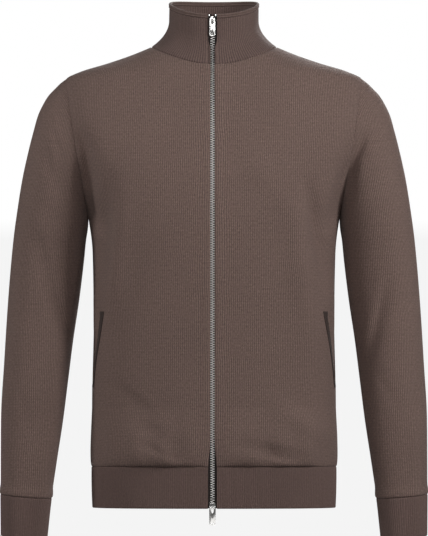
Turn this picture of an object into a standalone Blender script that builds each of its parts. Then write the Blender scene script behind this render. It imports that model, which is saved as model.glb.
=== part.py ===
"""A zip-up cardigan in fine knit, worn shape, hollow: the solids of each cut and sewn piece.

Frame: +X to the viewer's right as seen from the front, the garment's front faces -Y, +Z up.
The origin is the middle of the neck opening, level with the high points of the shoulders.
All tables are in millimetres and degrees. Blender's unit is the metre.
"""
import math
from collections import namedtuple

import bmesh
import bpy
import numpy as np
from mathutils.bvhtree import BVHTree

MM = 0.001

# ---- driving sizes, mm ----
CLOTH = 2.0                # body, sleeve, hem and cuff wall
COLLAR_CLOTH = 2.8         # doubled collar wall
SEAM_GAP = 0.3             # between two sewn pieces
ZIP_X = -2.2               # the zip lies a little to the left of the middle
ZIP_OPEN = 6.4             # from the zip's middle to a front's edge
SHOULDER_TIP_Z = -48.0
SHOULDER_TIP_X = 214.0
UNDERARM_Z = -250.0
NECK_POINT_Z = -2.0
HEM_SEAM_Z = -609.5        # at the sides; the hem's plane rises a little to the front
HEM_BOTTOM_Z = -669.0
HEM_SLOPE = 0.05
HEM_RIBS = 300
CUFF_RIBS = 72
RIB_RELIEF = 0.5
CHEST_LINE_Z = -95.0       # where the rows level with the armhole end at the centre line
SLEEVE_SQUARE = 2.15       # squareness of a sleeve's rings

Section = namedtuple("Section", "z width front back square")
TORSO = [
    Section(-690, 175.5, 111, 103, 2.50),
    Section(-640, 176.0, 112, 104, 2.50),
    Section(-600, 177.0, 114, 104, 2.45),
    Section(-500, 176.5, 116, 100, 2.40),
    Section(-400, 174.5, 120, 99, 2.40),
    Section(-300, 176.0, 126, 107, 2.45),
    Section(-250, 182.0, 127, 113, 2.55),
    Section(-200, 200.0, 124, 116, 2.70),
    Section(-150, 219.0, 117, 115, 2.80),
    Section(-115, 226.0, 110, 112, 2.75),
    Section(-70, 223.0, 98, 104, 2.50),
    Section(-48, 214.0, 89, 96, 2.35),
    Section(-38, 194.0, 85, 91, 2.25),
    Section(-26, 155.0, 78, 84, 2.15),
    Section(-14, 120.0, 71, 76, 2.10),
    Section(-8, 105.0, 67, 71, 2.10),
    Section(-2, 91.0, 64, 67, 2.10),
    Section(5, 77.0, 60, 62, 2.05),
    Section(20, 60.0, 52, 52, 2.00),
]

NeckPoint = namedtuple("NeckPoint", "x z")
NECK_FRONT = [
    NeckPoint(0, -30.5), NeckPoint(20, -29.0), NeckPoint(34, -25.8), NeckPoint(50, -21.0),
    NeckPoint(66, -15.0), NeckPoint(80, -8.7), NeckPoint(91, -2.0),
]
NECK_BACK_RISE = 7.0       # centre back above the neck points

# Each ring of a sleeve: how far down the outer and the inner edge it lies, the middle's
# depth (minus is forward), half its depth, and how much of the armhole's shape is left.
Ring = namedtuple("Ring", "outer_z inner_z middle_y half_depth armhole")
SLEEVE = [
    Ring(-48, -250, 0, 0, 1.00),
    Ring(-55, -252, 0, 61, 0.97),
    Ring(-66, -254, 0, 61, 0.92),
    Ring(-82, -256, 0, 62, 0.84),
    Ring(-103, -258, 0, 62, 0.73),
    Ring(-128, -261, 0, 62, 0.60),
    Ring(-156, -265, 1, 62, 0.45),
    Ring(-186, -270, 2, 62, 0.31),
    Ring(-217, -277, 3, 61, 0.18),
    Ring(-248, -287, 4, 61, 0.08),
    Ring(-279, -301, 5, 60, 0.02),
    Ring(-310, -321, 5, 59, 0.00),
    Ring(-345, -355, 4, 58, 0.00),
    Ring(-380, -390, 2, 56, 0.00),
    Ring(-417, -426, -2, 54, 0.00),
    Ring(-455, -464, -7, 52, 0.00),
    Ring(-495, -503, -13, 50, 0.00),
    Ring(-535, -543, -19, 47, 0.00),
    Ring(-575, -582, -26, 44, 0.00),
    Ring(-612, -619, -32, 41, 0.00),
    Ring(-647, -653, -37, 38.5, 0.00),
    Ring(-706, -711, -44, 36.5, 0.00),
]
EdgePoint = namedtuple("EdgePoint", "z x")
SLEEVE_OUTER = [
    EdgePoint(-48, 214), EdgePoint(-55, 223), EdgePoint(-61, 229), EdgePoint(-72, 239.5),
    EdgePoint(-84, 247), EdgePoint(-101, 255), EdgePoint(-122, 261), EdgePoint(-151, 268.5),
    EdgePoint(-194, 278), EdgePoint(-237, 285), EdgePoint(-281, 291), EdgePoint(-368, 298.5),
    EdgePoint(-455, 303.5), EdgePoint(-542, 307.5), EdgePoint(-629, 307), EdgePoint(-706, 306),
]
SLEEVE_INNER = [
    EdgePoint(-250, 182.0), EdgePoint(-258, 182.2), EdgePoint(-266, 183), EdgePoint(-281, 185.5),
    EdgePoint(-310, 188.5), EdgePoint(-368, 195.5), EdgePoint(-426, 204), EdgePoint(-484, 211),
    EdgePoint(-542, 218), EdgePoint(-600, 226.5), EdgePoint(-658, 234.5), EdgePoint(-711, 240),
]

# Folds seen from the front or the back: a soft line from (x0, z0) to (x1, z1),
# depth is along the wall's normal (minus sinks), width is to where it has faded.
Fold = namedtuple("Fold", "piece x0 z0 x1 z1 depth width")
FOLDS = [
    Fold("front", 106, -205, 140, -455, 5.5, 30),
    Fold("front", 128, -225, 157, -360, -5.5, 20),
    Fold("front", -122, -225, -152, -400, 5.0, 28),
    Fold("front", -150, -190, -166, -350, -5.0, 20),
    Fold("front", -108, -545, -42, -588, -3.5, 26),
    Fold("front", 40, -575, 128, -592, -4.0, 22),
    Fold("front", 95, -520, 150, -560, 3.0, 30),
    Fold("back", 0, -120, 0, -330, -4.0, 45),
    Fold("back", 70, -420, 150, -520, -3.5, 34),
    Fold("back", -64, -440, -150, -512, -3.5, 34),
    Fold("back", 90, -570, -90, -585, -3.0, 26),
    Fold("back", 150, -190, 120, -330, -3.0, 30),
    Fold("back", -150, -190, -122, -318, -3.0, 30),
    Fold("sleeve_front", 237, -104, 196, -205, -6.5, 15),
    Fold("sleeve_front", 214, -150, 187, -246, -6.0, 17),
    Fold("sleeve_front", -212, -108, -190, -190, -5.0, 18),
    Fold("sleeve_front", -205, -160, -184, -246, -5.5, 17),
    Fold("sleeve_front", -245, -150, -222, -215, -2.5, 16),
    Fold("sleeve_front", -262, -265, -206, -425, -3.0, 17),
    Fold("sleeve_front", 238, -318, 214, -420, -3.0, 20),
    Fold("sleeve_front", 295, -465, 281, -535, -2.5, 16),
    Fold("sleeve_front", 262, -300, 240, -330, 2.0, 22),
    Fold("sleeve_back", 232, -110, 192, -230, -6.0, 19),
    Fold("sleeve_back", -230, -112, -191, -234, -6.0, 19),
    Fold("sleeve_back", 276, -300, 215, -365, -3.5, 18),
    Fold("sleeve_back", -272, -310, -214, -352, -3.5, 18),
    Fold("sleeve_back", 282, -360, 222, -400, -3.0, 16),
    Fold("sleeve_back", -280, -372, -224, -408, -3.0, 16),
]

# Collar: rim half width and depths, its height at the front, sides and back.
RIM_HALF_WIDTH = 64.8
RIM_FRONT_Y = -64.0
RIM_BACK_Y = 60.0
RIM_SQUARE = 2.15
RIM_SIDE_Z = 55.5
RIM_FRONT_DROP = 20.0
RIM_BACK_RISE = 6.0
COLLAR_FLARE = 0.66        # share of the height over which the foot spreads
RIM_BEAD_HEIGHT = 6.6
RIM_BEAD_PROUD = 0.8

PocketPoint = namedtuple("PocketPoint", "x z")
POCKET_MOUTH = [
    PocketPoint(155, -384), PocketPoint(161, -412), PocketPoint(166.5, -440),
    PocketPoint(170.5, -468), PocketPoint(173, -494),
]
WELT_WIDTH = 8.0
WELT_CLOTH = 1.2
RAY_START = 30.0           # how far outside a panel its surface is looked for

# Counts of quads.
FRONT_COLUMNS = 10
BACK_COLUMNS = 20
SIDE_ROWS = 11
ARM_ROWS = 12
SHOULDER_ROWS = 6
COLLAR_ROWS = 6
BAND_INNER_COLUMNS = 60
CUFF_INNER_COLUMNS = 24

# Zip, mm.
TAPE_THICK = 1.0
TAPE_INNER = 1.0
TAPE_OUTER = 13.0
CHAIN_HALF = 2.2
CHAIN_THICK = 1.7
SLIDER_WIDTH = 8.4
SLIDER_HEIGHT = 9.6
SLIDER_PLATE = 1.3
PULL_WIDTH = 9.2
PULL_LENGTH = 26.0
PULL_THICK = 1.2
SLOT_WIDTH = 3.4
SLOT_LENGTH = 7.0
PULL_BAR = 1.2
BRIDGE_WIDTH = 2.0
BRIDGE_WIRE = 0.9
RUNNING_GAP = 0.35

COLOURS = {                # base colour, roughness, metallic
    "body knit": ((0.118, 0.078, 0.068), 0.9, 0.0),
    "rib knit": ((0.082, 0.054, 0.048), 0.92, 0.0),
    "collar knit": ((0.095, 0.064, 0.056), 0.92, 0.0),
    "zip tape": ((0.024, 0.018, 0.017), 0.85, 0.0),
    "bright metal": ((0.72, 0.71, 0.69), 0.22, 1.0),
}


def curve_through(knots, values):
    """A smooth function through the knots that doesn't overshoot between them."""
    order = np.argsort(knots)
    x = np.asarray(knots, float)[order]
    y = np.asarray(values, float)[order]
    step = np.diff(x)
    slope = np.diff(y) / step
    tangent = np.empty(len(x))
    tangent[0], tangent[-1] = slope[0], slope[-1]
    for i in range(1, len(x) - 1):
        if slope[i - 1] * slope[i] <= 0:
            tangent[i] = 0.0
        else:
            a = 2 * step[i] + step[i - 1]
            b = step[i] + 2 * step[i - 1]
            tangent[i] = (a + b) / (a / slope[i - 1] + b / slope[i])

    def value(at):
        at = min(max(at, x[0]), x[-1])
        i = min(int(np.searchsorted(x, at, side="right")) - 1, len(step) - 1)
        t = (at - x[i]) / step[i]
        return ((1 + 2 * t) * (1 - t) ** 2 * y[i] + t * (1 - t) ** 2 * step[i] * tangent[i]
                + t * t * (3 - 2 * t) * y[i + 1] + t * t * (t - 1) * step[i] * tangent[i + 1])
    return value


def table_curve(rows, key, column):
    return curve_through([getattr(r, key) for r in rows], [getattr(r, column) for r in rows])


torso_width = table_curve(TORSO, "z", "width")
torso_front = table_curve(TORSO, "z", "front")
torso_back = table_curve(TORSO, "z", "back")
torso_square = table_curve(TORSO, "z", "square")
neck_front_z = table_curve(NECK_FRONT, "x", "z")
outer_edge_x = table_curve(SLEEVE_OUTER, "z", "x")
inner_edge_x = table_curve(SLEEVE_INNER, "z", "x")
pocket_x = table_curve(POCKET_MOUTH, "z", "x")


def unit(v):
    v = np.asarray(v, float)
    return v / np.linalg.norm(v)


# ---- the torso's surface: level sections, angle 0 at centre front, 90 at +X, 180 at the back ----

def torso_point(angle, z):
    a = math.radians(angle)
    power = 2.0 / torso_square(z)
    depth = torso_front(z) if math.cos(a) >= 0 else torso_back(z)
    x = math.copysign(abs(math.sin(a)) ** power, math.sin(a)) * torso_width(z)
    y = -math.copysign(abs(math.cos(a)) ** power, math.cos(a)) * depth
    return np.array([x, y, z])


def torso_normal(point):
    """Outward normal: the gradient of |x/width|^n + |y/depth|^n - 1."""
    x, y, z = point

    def level(px, py, pz):
        n = torso_square(pz)
        depth = torso_front(pz) if y <= 0 else torso_back(pz)
        return (abs(px) / torso_width(pz)) ** n + (abs(py) / depth) ** n
    n = torso_square(z)
    depth = torso_front(z) if y <= 0 else torso_back(z)
    gx = n * (abs(x) / torso_width(z)) ** (n - 1) / torso_width(z) * math.copysign(1, x)
    gy = n * (abs(y) / depth) ** (n - 1) / depth * math.copysign(1, y)
    gz = (level(x, y, z + 0.5) - level(x, y, z - 0.5))
    return unit([gx, gy, gz])


def angle_at(x, z):
    """The front angle whose point lies at this x."""
    share = min(abs(x) / torso_width(z), 1.0)
    a = math.degrees(math.asin(share ** (torso_square(z) / 2.0)))
    return math.copysign(a, x)


def hem_plane_z(angle, side_z):
    z = side_z
    for _ in range(12):
        z = side_z - HEM_SLOPE * torso_point(angle, z)[1]
    return z


def armhole_x(z):
    share = (z - SHOULDER_TIP_Z) / (UNDERARM_Z - SHOULDER_TIP_Z)
    return SHOULDER_TIP_X + share * (torso_width(UNDERARM_Z) - SHOULDER_TIP_X)


def even_samples(point_of, count, fine=400):
    """Parameters 0..1 that split a curve into pieces of equal length."""
    t = np.linspace(0, 1, fine + 1)
    pts = np.array([point_of(v) for v in t])
    run = np.concatenate([[0], np.cumsum(np.linalg.norm(np.diff(pts, axis=0), axis=1))])
    return np.interp(np.linspace(0, run[-1], count + 1), run, t)


def armhole_angle_z(t, back):
    """t = 0 at the underarm, 1 at the shoulder tip; in the armhole's flat plane."""
    z = UNDERARM_Z + (SHOULDER_TIP_Z - UNDERARM_Z) * (0.5 - 0.5 * math.cos(math.pi * t))
    angle = angle_at(armhole_x(z), z)
    return (180 - angle if back else angle), z


def armhole_samples(back, count):
    ts = even_samples(lambda t: torso_point(*armhole_angle_z(t, back)), count)
    pairs = [armhole_angle_z(t, back) for t in ts]
    pairs[0] = (90.0, UNDERARM_Z)
    pairs[-1] = (90.0, SHOULDER_TIP_Z)
    return pairs


def neck_angle_z(t, side, back):
    """t = 0 at the zip's edge or centre back, 1 at the neck point."""
    end = torso_width(NECK_POINT_Z)
    start = 0.0 if back else ZIP_OPEN + side * ZIP_X
    x = start + (end - start) * math.sin(0.5 * math.pi * t)
    if back:
        z = NECK_POINT_Z + NECK_BACK_RISE * (1 - (x / end) ** 2.2)
        return 180 - angle_at(x, z), z
    z = neck_front_z(x)
    return angle_at(x, z), z


def coons(bottom, top, left, right):
    """Blend a grid of (angle, z) between four edges; bottom and top run along the columns."""
    bottom, top, left, right = (np.array(e, float) for e in (bottom, top, left, right))
    rows, cols = len(left), len(bottom)
    grid = np.empty((rows, cols, 2))
    for i in range(rows):
        v = i / (rows - 1)
        for j in range(cols):
            u = j / (cols - 1)
            edges = (1 - v) * bottom[j] + v * top[j] + (1 - u) * left[i] + u * right[i]
            corners = ((1 - u) * (1 - v) * bottom[0] + u * (1 - v) * bottom[-1]
                       + (1 - u) * v * top[0] + u * v * top[-1])
            grid[i, j] = edges - corners
    return grid


def fold_depth(piece, x, z):
    total = 0.0
    for f in FOLDS:
        if f.piece != piece:
            continue
        dx, dz = f.x1 - f.x0, f.z1 - f.z0
        length = math.hypot(dx, dz)
        along = ((x - f.x0) * dx + (z - f.z0) * dz) / length
        off = ((x - f.x0) * dz - (z - f.z0) * dx) / length
        if -f.width < along < length + f.width and abs(off) < 2 * f.width:
            t = (along + f.width) / (length + 2 * f.width)
            total += f.depth * math.sin(math.pi * t) ** 1.2 * math.exp(-(2 * off / f.width) ** 2)
    return total


def near_edge_fade(distance, reach):
    t = min(max(distance / reach, 0.0), 1.0)
    return t * t * (3 - 2 * t)


# ---- panels ----

def side_boundary(back, rows_side, rows_arm, rows_shoulder):
    """Side seam, armhole and shoulder, from the hem up to the neck point, as (angle, z)."""
    low = hem_plane_z(90, HEM_SEAM_Z)
    pairs = [(90.0, low + (UNDERARM_Z - low) * i / rows_side) for i in range(rows_side)]
    pairs += armhole_samples(back, rows_arm)
    ridge = even_samples(
        lambda t: torso_point(90, SHOULDER_TIP_Z + (NECK_POINT_Z - SHOULDER_TIP_Z) * t),
        rows_shoulder)
    pairs += [(90.0, SHOULDER_TIP_Z + (NECK_POINT_Z - SHOULDER_TIP_Z) * t) for t in ridge[1:]]
    return pairs


def centre_z(rows_side, rows_arm, rows_shoulder, low, high):
    """Heights along a centre line that answer the rows of the side boundary."""
    z = list(np.linspace(low, UNDERARM_Z, rows_side + 1))
    z += list(np.linspace(UNDERARM_Z, CHEST_LINE_Z, rows_arm + 1))[1:]
    z += list(np.linspace(CHEST_LINE_Z, high, rows_shoulder + 1))[1:]
    return z


def front_grid(side, columns):
    edge_x = ZIP_OPEN + side * ZIP_X
    right = side_boundary(False, SIDE_ROWS, ARM_ROWS, SHOULDER_ROWS)
    top_z = neck_front_z(edge_x)
    low_z = hem_plane_z(0, HEM_SEAM_Z)
    left = [(angle_at(edge_x, z), z)
            for z in centre_z(SIDE_ROWS, ARM_ROWS, SHOULDER_ROWS, low_z, top_z)]
    first = left[0][0]
    bottom = []
    for j in range(columns + 1):
        a = first + (90 - first) * j / columns
        bottom.append((a, hem_plane_z(a, HEM_SEAM_Z)))
    left[0] = bottom[0]
    ts = even_samples(lambda t: torso_point(*neck_angle_z(t, side, False)), columns)
    top = [neck_angle_z(t, side, False) for t in ts]
    top[-1] = (90.0, NECK_POINT_Z)
    left[-1] = top[0]
    return coons(bottom, top, left, right)


def back_grid(columns):
    right = side_boundary(True, SIDE_ROWS, ARM_ROWS, SHOULDER_ROWS)
    left = [(360 - a, z) for a, z in right]
    bottom = []
    for j in range(columns + 1):
        a = 270 - 180 * j / columns
        bottom.append((a, hem_plane_z(a, HEM_SEAM_Z)))
    half = columns // 2
    ts = even_samples(lambda t: torso_point(*neck_angle_z(t, 1, True)), half)
    right_half = [neck_angle_z(t, 1, True) for t in ts]
    right_half[-1] = (90.0, NECK_POINT_Z)
    left_half = [(360 - a, z) for a, z in right_half]
    top = left_half[::-1] + right_half[1:]
    return coons(bottom, top, left, right)


def panel_points(grid, side, piece):
    """Outer points and normals of a torso panel; side -1 mirrors it."""
    rows, cols = grid.shape[:2]
    points = np.empty((rows, cols, 3))
    normals = np.empty((rows, cols, 3))
    for i in range(rows):
        for j in range(cols):
            p = torso_point(*grid[i, j])
            n = torso_normal(p)
            p[0] *= side
            n[0] *= side
            rim = min(i, rows - 1 - i, j, cols - 1 - j)
            fade = near_edge_fade(rim, 2.0)
            points[i, j] = p + n * fold_depth(piece, p[0], p[2]) * fade
            normals[i, j] = n
    for j in range(cols):
        n = normals[0, j]
        n[2] = -HEM_SLOPE * n[1]
        normals[0, j] = unit(n)
    return points, normals


def pull_in(points, rows=(True, True), cols=(True, True), gap=SEAM_GAP):
    """Move the outermost points half a seam gap inwards along the surface."""
    moved = points.copy()

    def shift(line, neighbour):
        way = neighbour - line
        return way / np.linalg.norm(way, axis=1)[:, None] * (gap / 2)
    if rows[0]:
        moved[0] += shift(points[0], points[1])
    if rows[1]:
        moved[-1] += shift(points[-1], points[-2])
    if cols[0]:
        moved[:, 0] += shift(points[:, 0], points[:, 1])
    if cols[1]:
        moved[:, -1] += shift(points[:, -1], points[:, -2])
    return moved


# ---- making objects ----

def material(name):
    made = bpy.data.materials.get(name)
    if made is None:
        colour, roughness, metallic = COLOURS[name]
        made = bpy.data.materials.new(name)
        made.use_nodes = True
        shader = made.node_tree.nodes["Principled BSDF"]
        shader.inputs["Base Color"].default_value = (*colour, 1.0)
        shader.inputs["Roughness"].default_value = roughness
        shader.inputs["Metallic"].default_value = metallic
    return made


def add_object(name, vertices, faces, finish, smooth=True):
    """A closed body from points in mm, faces turned outwards."""
    mesh = bpy.data.meshes.new(name)
    mesh.from_pydata([tuple(float(c) * MM for c in v) for v in vertices], [], faces)
    work = bmesh.new()
    work.from_mesh(mesh)
    bmesh.ops.recalc_face_normals(work, faces=work.faces)
    work.to_mesh(mesh)
    work.free()
    if smooth:
        mesh.shade_smooth()
        mesh.set_sharp_from_angle(angle=math.radians(40))
    mesh.materials.append(material(finish))
    made = bpy.data.objects.new(name, mesh)
    bpy.context.scene.collection.objects.link(made)
    return made


def wall(name, outer, inner, finish, ring=False):
    """A solid between two grids of points; ring joins the last column to the first."""
    rows, cols = outer.shape[:2]
    vertices = list(outer.reshape(-1, 3)) + list(inner.reshape(-1, 3))
    half = rows * cols

    def at(i, j, layer=0):
        return layer * half + i * cols + j % cols
    spans = cols if ring else cols - 1
    faces = []
    for i in range(rows - 1):
        for j in range(spans):
            faces.append((at(i, j), at(i, j + 1), at(i + 1, j + 1), at(i + 1, j)))
            faces.append((at(i, j, 1), at(i + 1, j, 1), at(i + 1, j + 1, 1), at(i, j + 1, 1)))
    for j in range(spans):
        faces.append((at(0, j), at(0, j, 1), at(0, j + 1, 1), at(0, j + 1)))
        top = rows - 1
        faces.append((at(top, j), at(top, j + 1), at(top, j + 1, 1), at(top, j, 1)))
    if not ring:
        for i in range(rows - 1):
            faces.append((at(i, 0), at(i + 1, 0), at(i + 1, 0, 1), at(i, 0, 1)))
            last = cols - 1
            faces.append((at(i, last), at(i, last, 1), at(i + 1, last, 1), at(i + 1, last)))
    return add_object(name, vertices, faces, finish)


def ribbed_band(name, outer, inner, finish, ring):
    """A two-row band whose outer side has many more columns than its plain inner side."""
    count_out, count_in = outer.shape[1], inner.shape[1]
    spans_in = count_in if ring else count_in - 1
    spans_out = count_out if ring else count_out - 1
    step = spans_out // spans_in
    vertices = list(outer.reshape(-1, 3)) + list(inner.reshape(-1, 3))

    def out_at(i, j):
        return i * count_out + j % count_out

    def in_at(i, j):
        return 2 * count_out + i * count_in + j % count_in
    faces = []
    for j in range(spans_out):
        faces.append((out_at(0, j), out_at(0, j + 1), out_at(1, j + 1), out_at(1, j)))
    for k in range(spans_in):
        faces.append((in_at(0, k), in_at(1, k), in_at(1, k + 1), in_at(0, k + 1)))
        for i in (0, 1):
            middle = k * step + step // 2
            for j in range(k * step, (k + 1) * step):
                foot = in_at(i, k) if j < middle else in_at(i, k + 1)
                faces.append((out_at(i, j), out_at(i, j + 1), foot))
            faces.append((out_at(i, middle), in_at(i, k), in_at(i, k + 1)))
    if not ring:
        for j_out, j_in in ((0, 0), (count_out - 1, count_in - 1)):
            faces.append((out_at(0, j_out), in_at(0, j_in), in_at(1, j_in), out_at(1, j_out)))
    return add_object(name, vertices, faces, finish)


def prism(outline, low, high):
    """Vertices and faces of an outline in X and Z, from y = low to y = high."""
    count = len(outline)
    vertices = [(x, low, z) for x, z in outline] + [(x, high, z) for x, z in outline]
    faces = [tuple(range(count)), tuple(range(2 * count - 1, count - 1, -1))]
    for i in range(count):
        j = (i + 1) % count
        faces.append((i, i + count, j + count, j))
    return vertices, faces


# ---- armholes: each lies in one flat plane, so sleeve and panels meet along it ----

def armhole_plane_normal(side):
    run = SHOULDER_TIP_X - torso_width(UNDERARM_Z)
    rise = SHOULDER_TIP_Z - UNDERARM_Z
    return unit([rise * side, 0, -run])


def armhole_loop(side):
    """Points and in-plane outward normals: underarm, up the front, down the back."""
    front = [torso_point(*p) for p in armhole_samples(False, ARM_ROWS)]
    back = [torso_point(*p) for p in armhole_samples(True, ARM_ROWS)]
    loop = np.array(front + back[-2:0:-1])
    loop[0][1] = loop[ARM_ROWS][1] = 0.0
    loop[:, 0] *= side
    plane = armhole_plane_normal(side)
    tangent = np.roll(loop, -1, axis=0) - np.roll(loop, 1, axis=0)
    normals = np.cross(tangent, plane)
    middle = loop.mean(axis=0)
    facing = np.sign(np.einsum("ij,ij->i", normals, loop - middle))
    normals *= facing[:, None]
    return loop, normals / np.linalg.norm(normals, axis=1)[:, None]


def set_armhole_edge(points, normals, column, side, back):
    """Put a panel's edge rows onto the armhole loop, half a gap inside its plane."""
    loop, in_plane = armhole_loop(side)
    count = len(loop)
    for k in range(ARM_ROWS + 1):
        row = SIDE_ROWS + k
        at = (count - k) % count if back else k
        points[row, column] = loop[at] - armhole_plane_normal(side) * SEAM_GAP / 2
        normals[row, column] = in_plane[at]
    for row in (SIDE_ROWS, SIDE_ROWS + ARM_ROWS):
        points[row, column][1] = SEAM_GAP / 2 if back else -SEAM_GAP / 2


def build_front(side):
    points, normals = panel_points(front_grid(side, FRONT_COLUMNS), side, "front")
    normals[:, 0, 0] = 0.0
    normals[:, 0] /= np.linalg.norm(normals[:, 0], axis=1)[:, None]
    points[:, 0, 0] = ZIP_X + side * ZIP_OPEN
    outer = pull_in(points, cols=(False, True))
    set_armhole_edge(outer, normals, -1, side, False)
    name = "front_left" if side > 0 else "front_right"
    return wall(name, outer, outer - normals * CLOTH, "body knit")


def build_back():
    points, normals = panel_points(back_grid(BACK_COLUMNS), 1, "back")
    outer = pull_in(points)
    set_armhole_edge(outer, normals, -1, 1, True)
    set_armhole_edge(outer, normals, 0, -1, True)
    return wall("back", outer, outer - normals * CLOTH, "body knit")


# ---- sleeves and cuffs ----

def grid_normals(points):
    """Normals of a tube's points from their neighbours, facing away from each ring's middle."""
    along = np.gradient(points, axis=0)
    around = np.roll(points, -1, axis=1) - np.roll(points, 1, axis=1)
    normals = np.cross(along, around)
    away = points - points.mean(axis=1)[:, None]
    normals *= np.sign(np.einsum("ijk,ijk->ij", normals, away))[:, :, None]
    return normals / np.linalg.norm(normals, axis=2)[:, :, None]


def ring_frame(ring, side):
    """Middle, half height and the direction from the inner to the outer edge."""
    outer = np.array([outer_edge_x(ring.outer_z) * side, 0, ring.outer_z])
    inner = np.array([inner_edge_x(ring.inner_z) * side, 0, ring.inner_z])
    across = outer - inner
    size = np.linalg.norm(across)
    return (outer + inner) / 2, size / 2, across / size


def sleeve_ring(ring, side, count, relief=None):
    """One ring of a sleeve or cuff with count points, from the underarm round the front."""
    middle, half, across = ring_frame(ring, side)
    points = np.empty((count, 3))
    if ring.armhole > 0:
        loop, _ = armhole_loop(side)
        first_middle, first_half, first_across = ring_frame(SLEEVE[0], side)
    for j in range(count):
        turn = 2 * math.pi * j / count
        c, s = math.cos(turn), math.sin(turn)
        power = 2 / SLEEVE_SQUARE
        up = -math.copysign(abs(c) ** power, c) * half
        forward = math.copysign(abs(s) ** power, s) * ring.half_depth
        if ring.armhole > 0:
            local = loop[j] - first_middle
            up = ring.armhole * (local @ first_across) * half / first_half \
                + (1 - ring.armhole) * up
            forward = ring.armhole * -local[1] + (1 - ring.armhole) * forward
        if relief is not None:
            grow = 1 + relief[j] / half
            up, forward = up * grow, forward * grow
        points[j] = middle + across * up + np.array([0, ring.middle_y - forward, 0])
    return points


def ring_axis(ring, side):
    _, _, across = ring_frame(ring, side)
    return np.array([across[2], 0, -across[0]]) * side


def flatten_to_plane(normals, axis):
    flat = normals - np.outer(normals @ axis, axis)
    return flat / np.linalg.norm(flat, axis=1)[:, None]


def sleeve_surface(side, rings):
    points = np.array([sleeve_ring(r, side, 2 * ARM_ROWS) for r in rings])
    normals = grid_normals(points)
    folded = points.copy()
    for i in range(1, len(rings) - 1):
        fade = near_edge_fade(i, 3.0) * near_edge_fade(len(rings) - 1 - i, 2.0)
        for j in range(points.shape[1]):
            p = points[i, j]
            piece = "sleeve_front" if normals[i, j][1] < 0 else "sleeve_back"
            facing = near_edge_fade(abs(normals[i, j][1]), 0.5)
            folded[i, j] = p + normals[i, j] * fold_depth(piece, p[0], p[2]) * fade * facing
    return folded, normals


def build_sleeve(side):
    rings = SLEEVE[:-1]
    outer, normals = sleeve_surface(side, rings)
    _, in_plane = armhole_loop(side)
    normals[0] = in_plane
    outer[0] += armhole_plane_normal(side) * SEAM_GAP / 2
    axis = ring_axis(rings[-1], side)
    normals[-1] = flatten_to_plane(normals[-1], axis)
    outer[-1] -= axis * SEAM_GAP / 2
    name = "sleeve_left" if side > 0 else "sleeve_right"
    return wall(name, outer, outer - normals * CLOTH, "body knit", ring=True)


def build_cuff(side):
    top, low = SLEEVE[-2], SLEEVE[-1]
    relief = [RIB_RELIEF * (j % 2) for j in range(2 * CUFF_RIBS)]
    axis = ring_axis(top, side)
    gap = axis * SEAM_GAP / 2
    outer = np.array([sleeve_ring(top, side, 2 * CUFF_RIBS, relief) + gap,
                      sleeve_ring(low, side, 2 * CUFF_RIBS, relief)])
    inner = []
    for ring, shift in ((top, gap), (low, 0 * gap)):
        inside = [-CLOTH] * CUFF_INNER_COLUMNS
        inner.append(sleeve_ring(ring, side, CUFF_INNER_COLUMNS, inside) + shift)
    name = "cuff_left" if side > 0 else "cuff_right"
    return ribbed_band(name, outer, np.array(inner), "rib knit", ring=True)


# ---- hem rib ----

def hem_line(side_z, count, inward, relief):
    """Points round the hem from one front edge, by the back, to the other."""
    first = angle_at(ZIP_X + ZIP_OPEN, side_z)
    last = 360 + angle_at(ZIP_X - ZIP_OPEN, side_z)

    def place(t):
        angle = first + (last - first) * t
        return torso_point(angle, hem_plane_z(angle, side_z))
    line = []
    for k, t in enumerate(even_samples(place, count, fine=1200)):
        p = place(t)
        n = torso_normal(p)
        if k in (0, count):
            n[0] = 0.0
        n[2] = 0.0
        line.append(p + unit(n) * ((k % 2) * relief - inward))
    line[0][0] = ZIP_X + ZIP_OPEN
    line[-1][0] = ZIP_X - ZIP_OPEN
    return np.array(line)


def build_hem():
    half_gap = np.array([0, 0, SEAM_GAP / 2])
    outer = np.array([hem_line(HEM_BOTTOM_Z, 2 * HEM_RIBS, 0, RIB_RELIEF),
                      hem_line(HEM_SEAM_Z, 2 * HEM_RIBS, 0, RIB_RELIEF) - half_gap])
    inner = np.array([hem_line(HEM_BOTTOM_Z, BAND_INNER_COLUMNS, CLOTH, 0),
                      hem_line(HEM_SEAM_Z, BAND_INNER_COLUMNS, CLOTH, 0) - half_gap])
    return ribbed_band("hem_rib", outer, inner, "rib knit", ring=False)


# ---- collar ----

def rim_point(angle):
    a = math.radians(angle)
    power = 2 / RIM_SQUARE
    depth = -RIM_FRONT_Y if math.cos(a) >= 0 else RIM_BACK_Y
    x = math.copysign(abs(math.sin(a)) ** power, math.sin(a)) * RIM_HALF_WIDTH
    y = -math.copysign(abs(math.cos(a)) ** power, math.cos(a)) * depth
    bend = (RIM_BACK_RISE / RIM_BACK_Y - RIM_FRONT_DROP / -RIM_FRONT_Y) / (RIM_BACK_Y - RIM_FRONT_Y)
    tilt = RIM_BACK_RISE / RIM_BACK_Y - bend * RIM_BACK_Y
    return np.array([x, y, RIM_SIDE_Z + tilt * y + bend * y * y])


def rim_angle_at(x):
    share = abs(x) / RIM_HALF_WIDTH
    return math.copysign(math.degrees(math.asin(share ** (RIM_SQUARE / 2))), x)


def flare(s):
    return max(1 - s / COLLAR_FLARE, 0.0) ** 2


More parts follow.
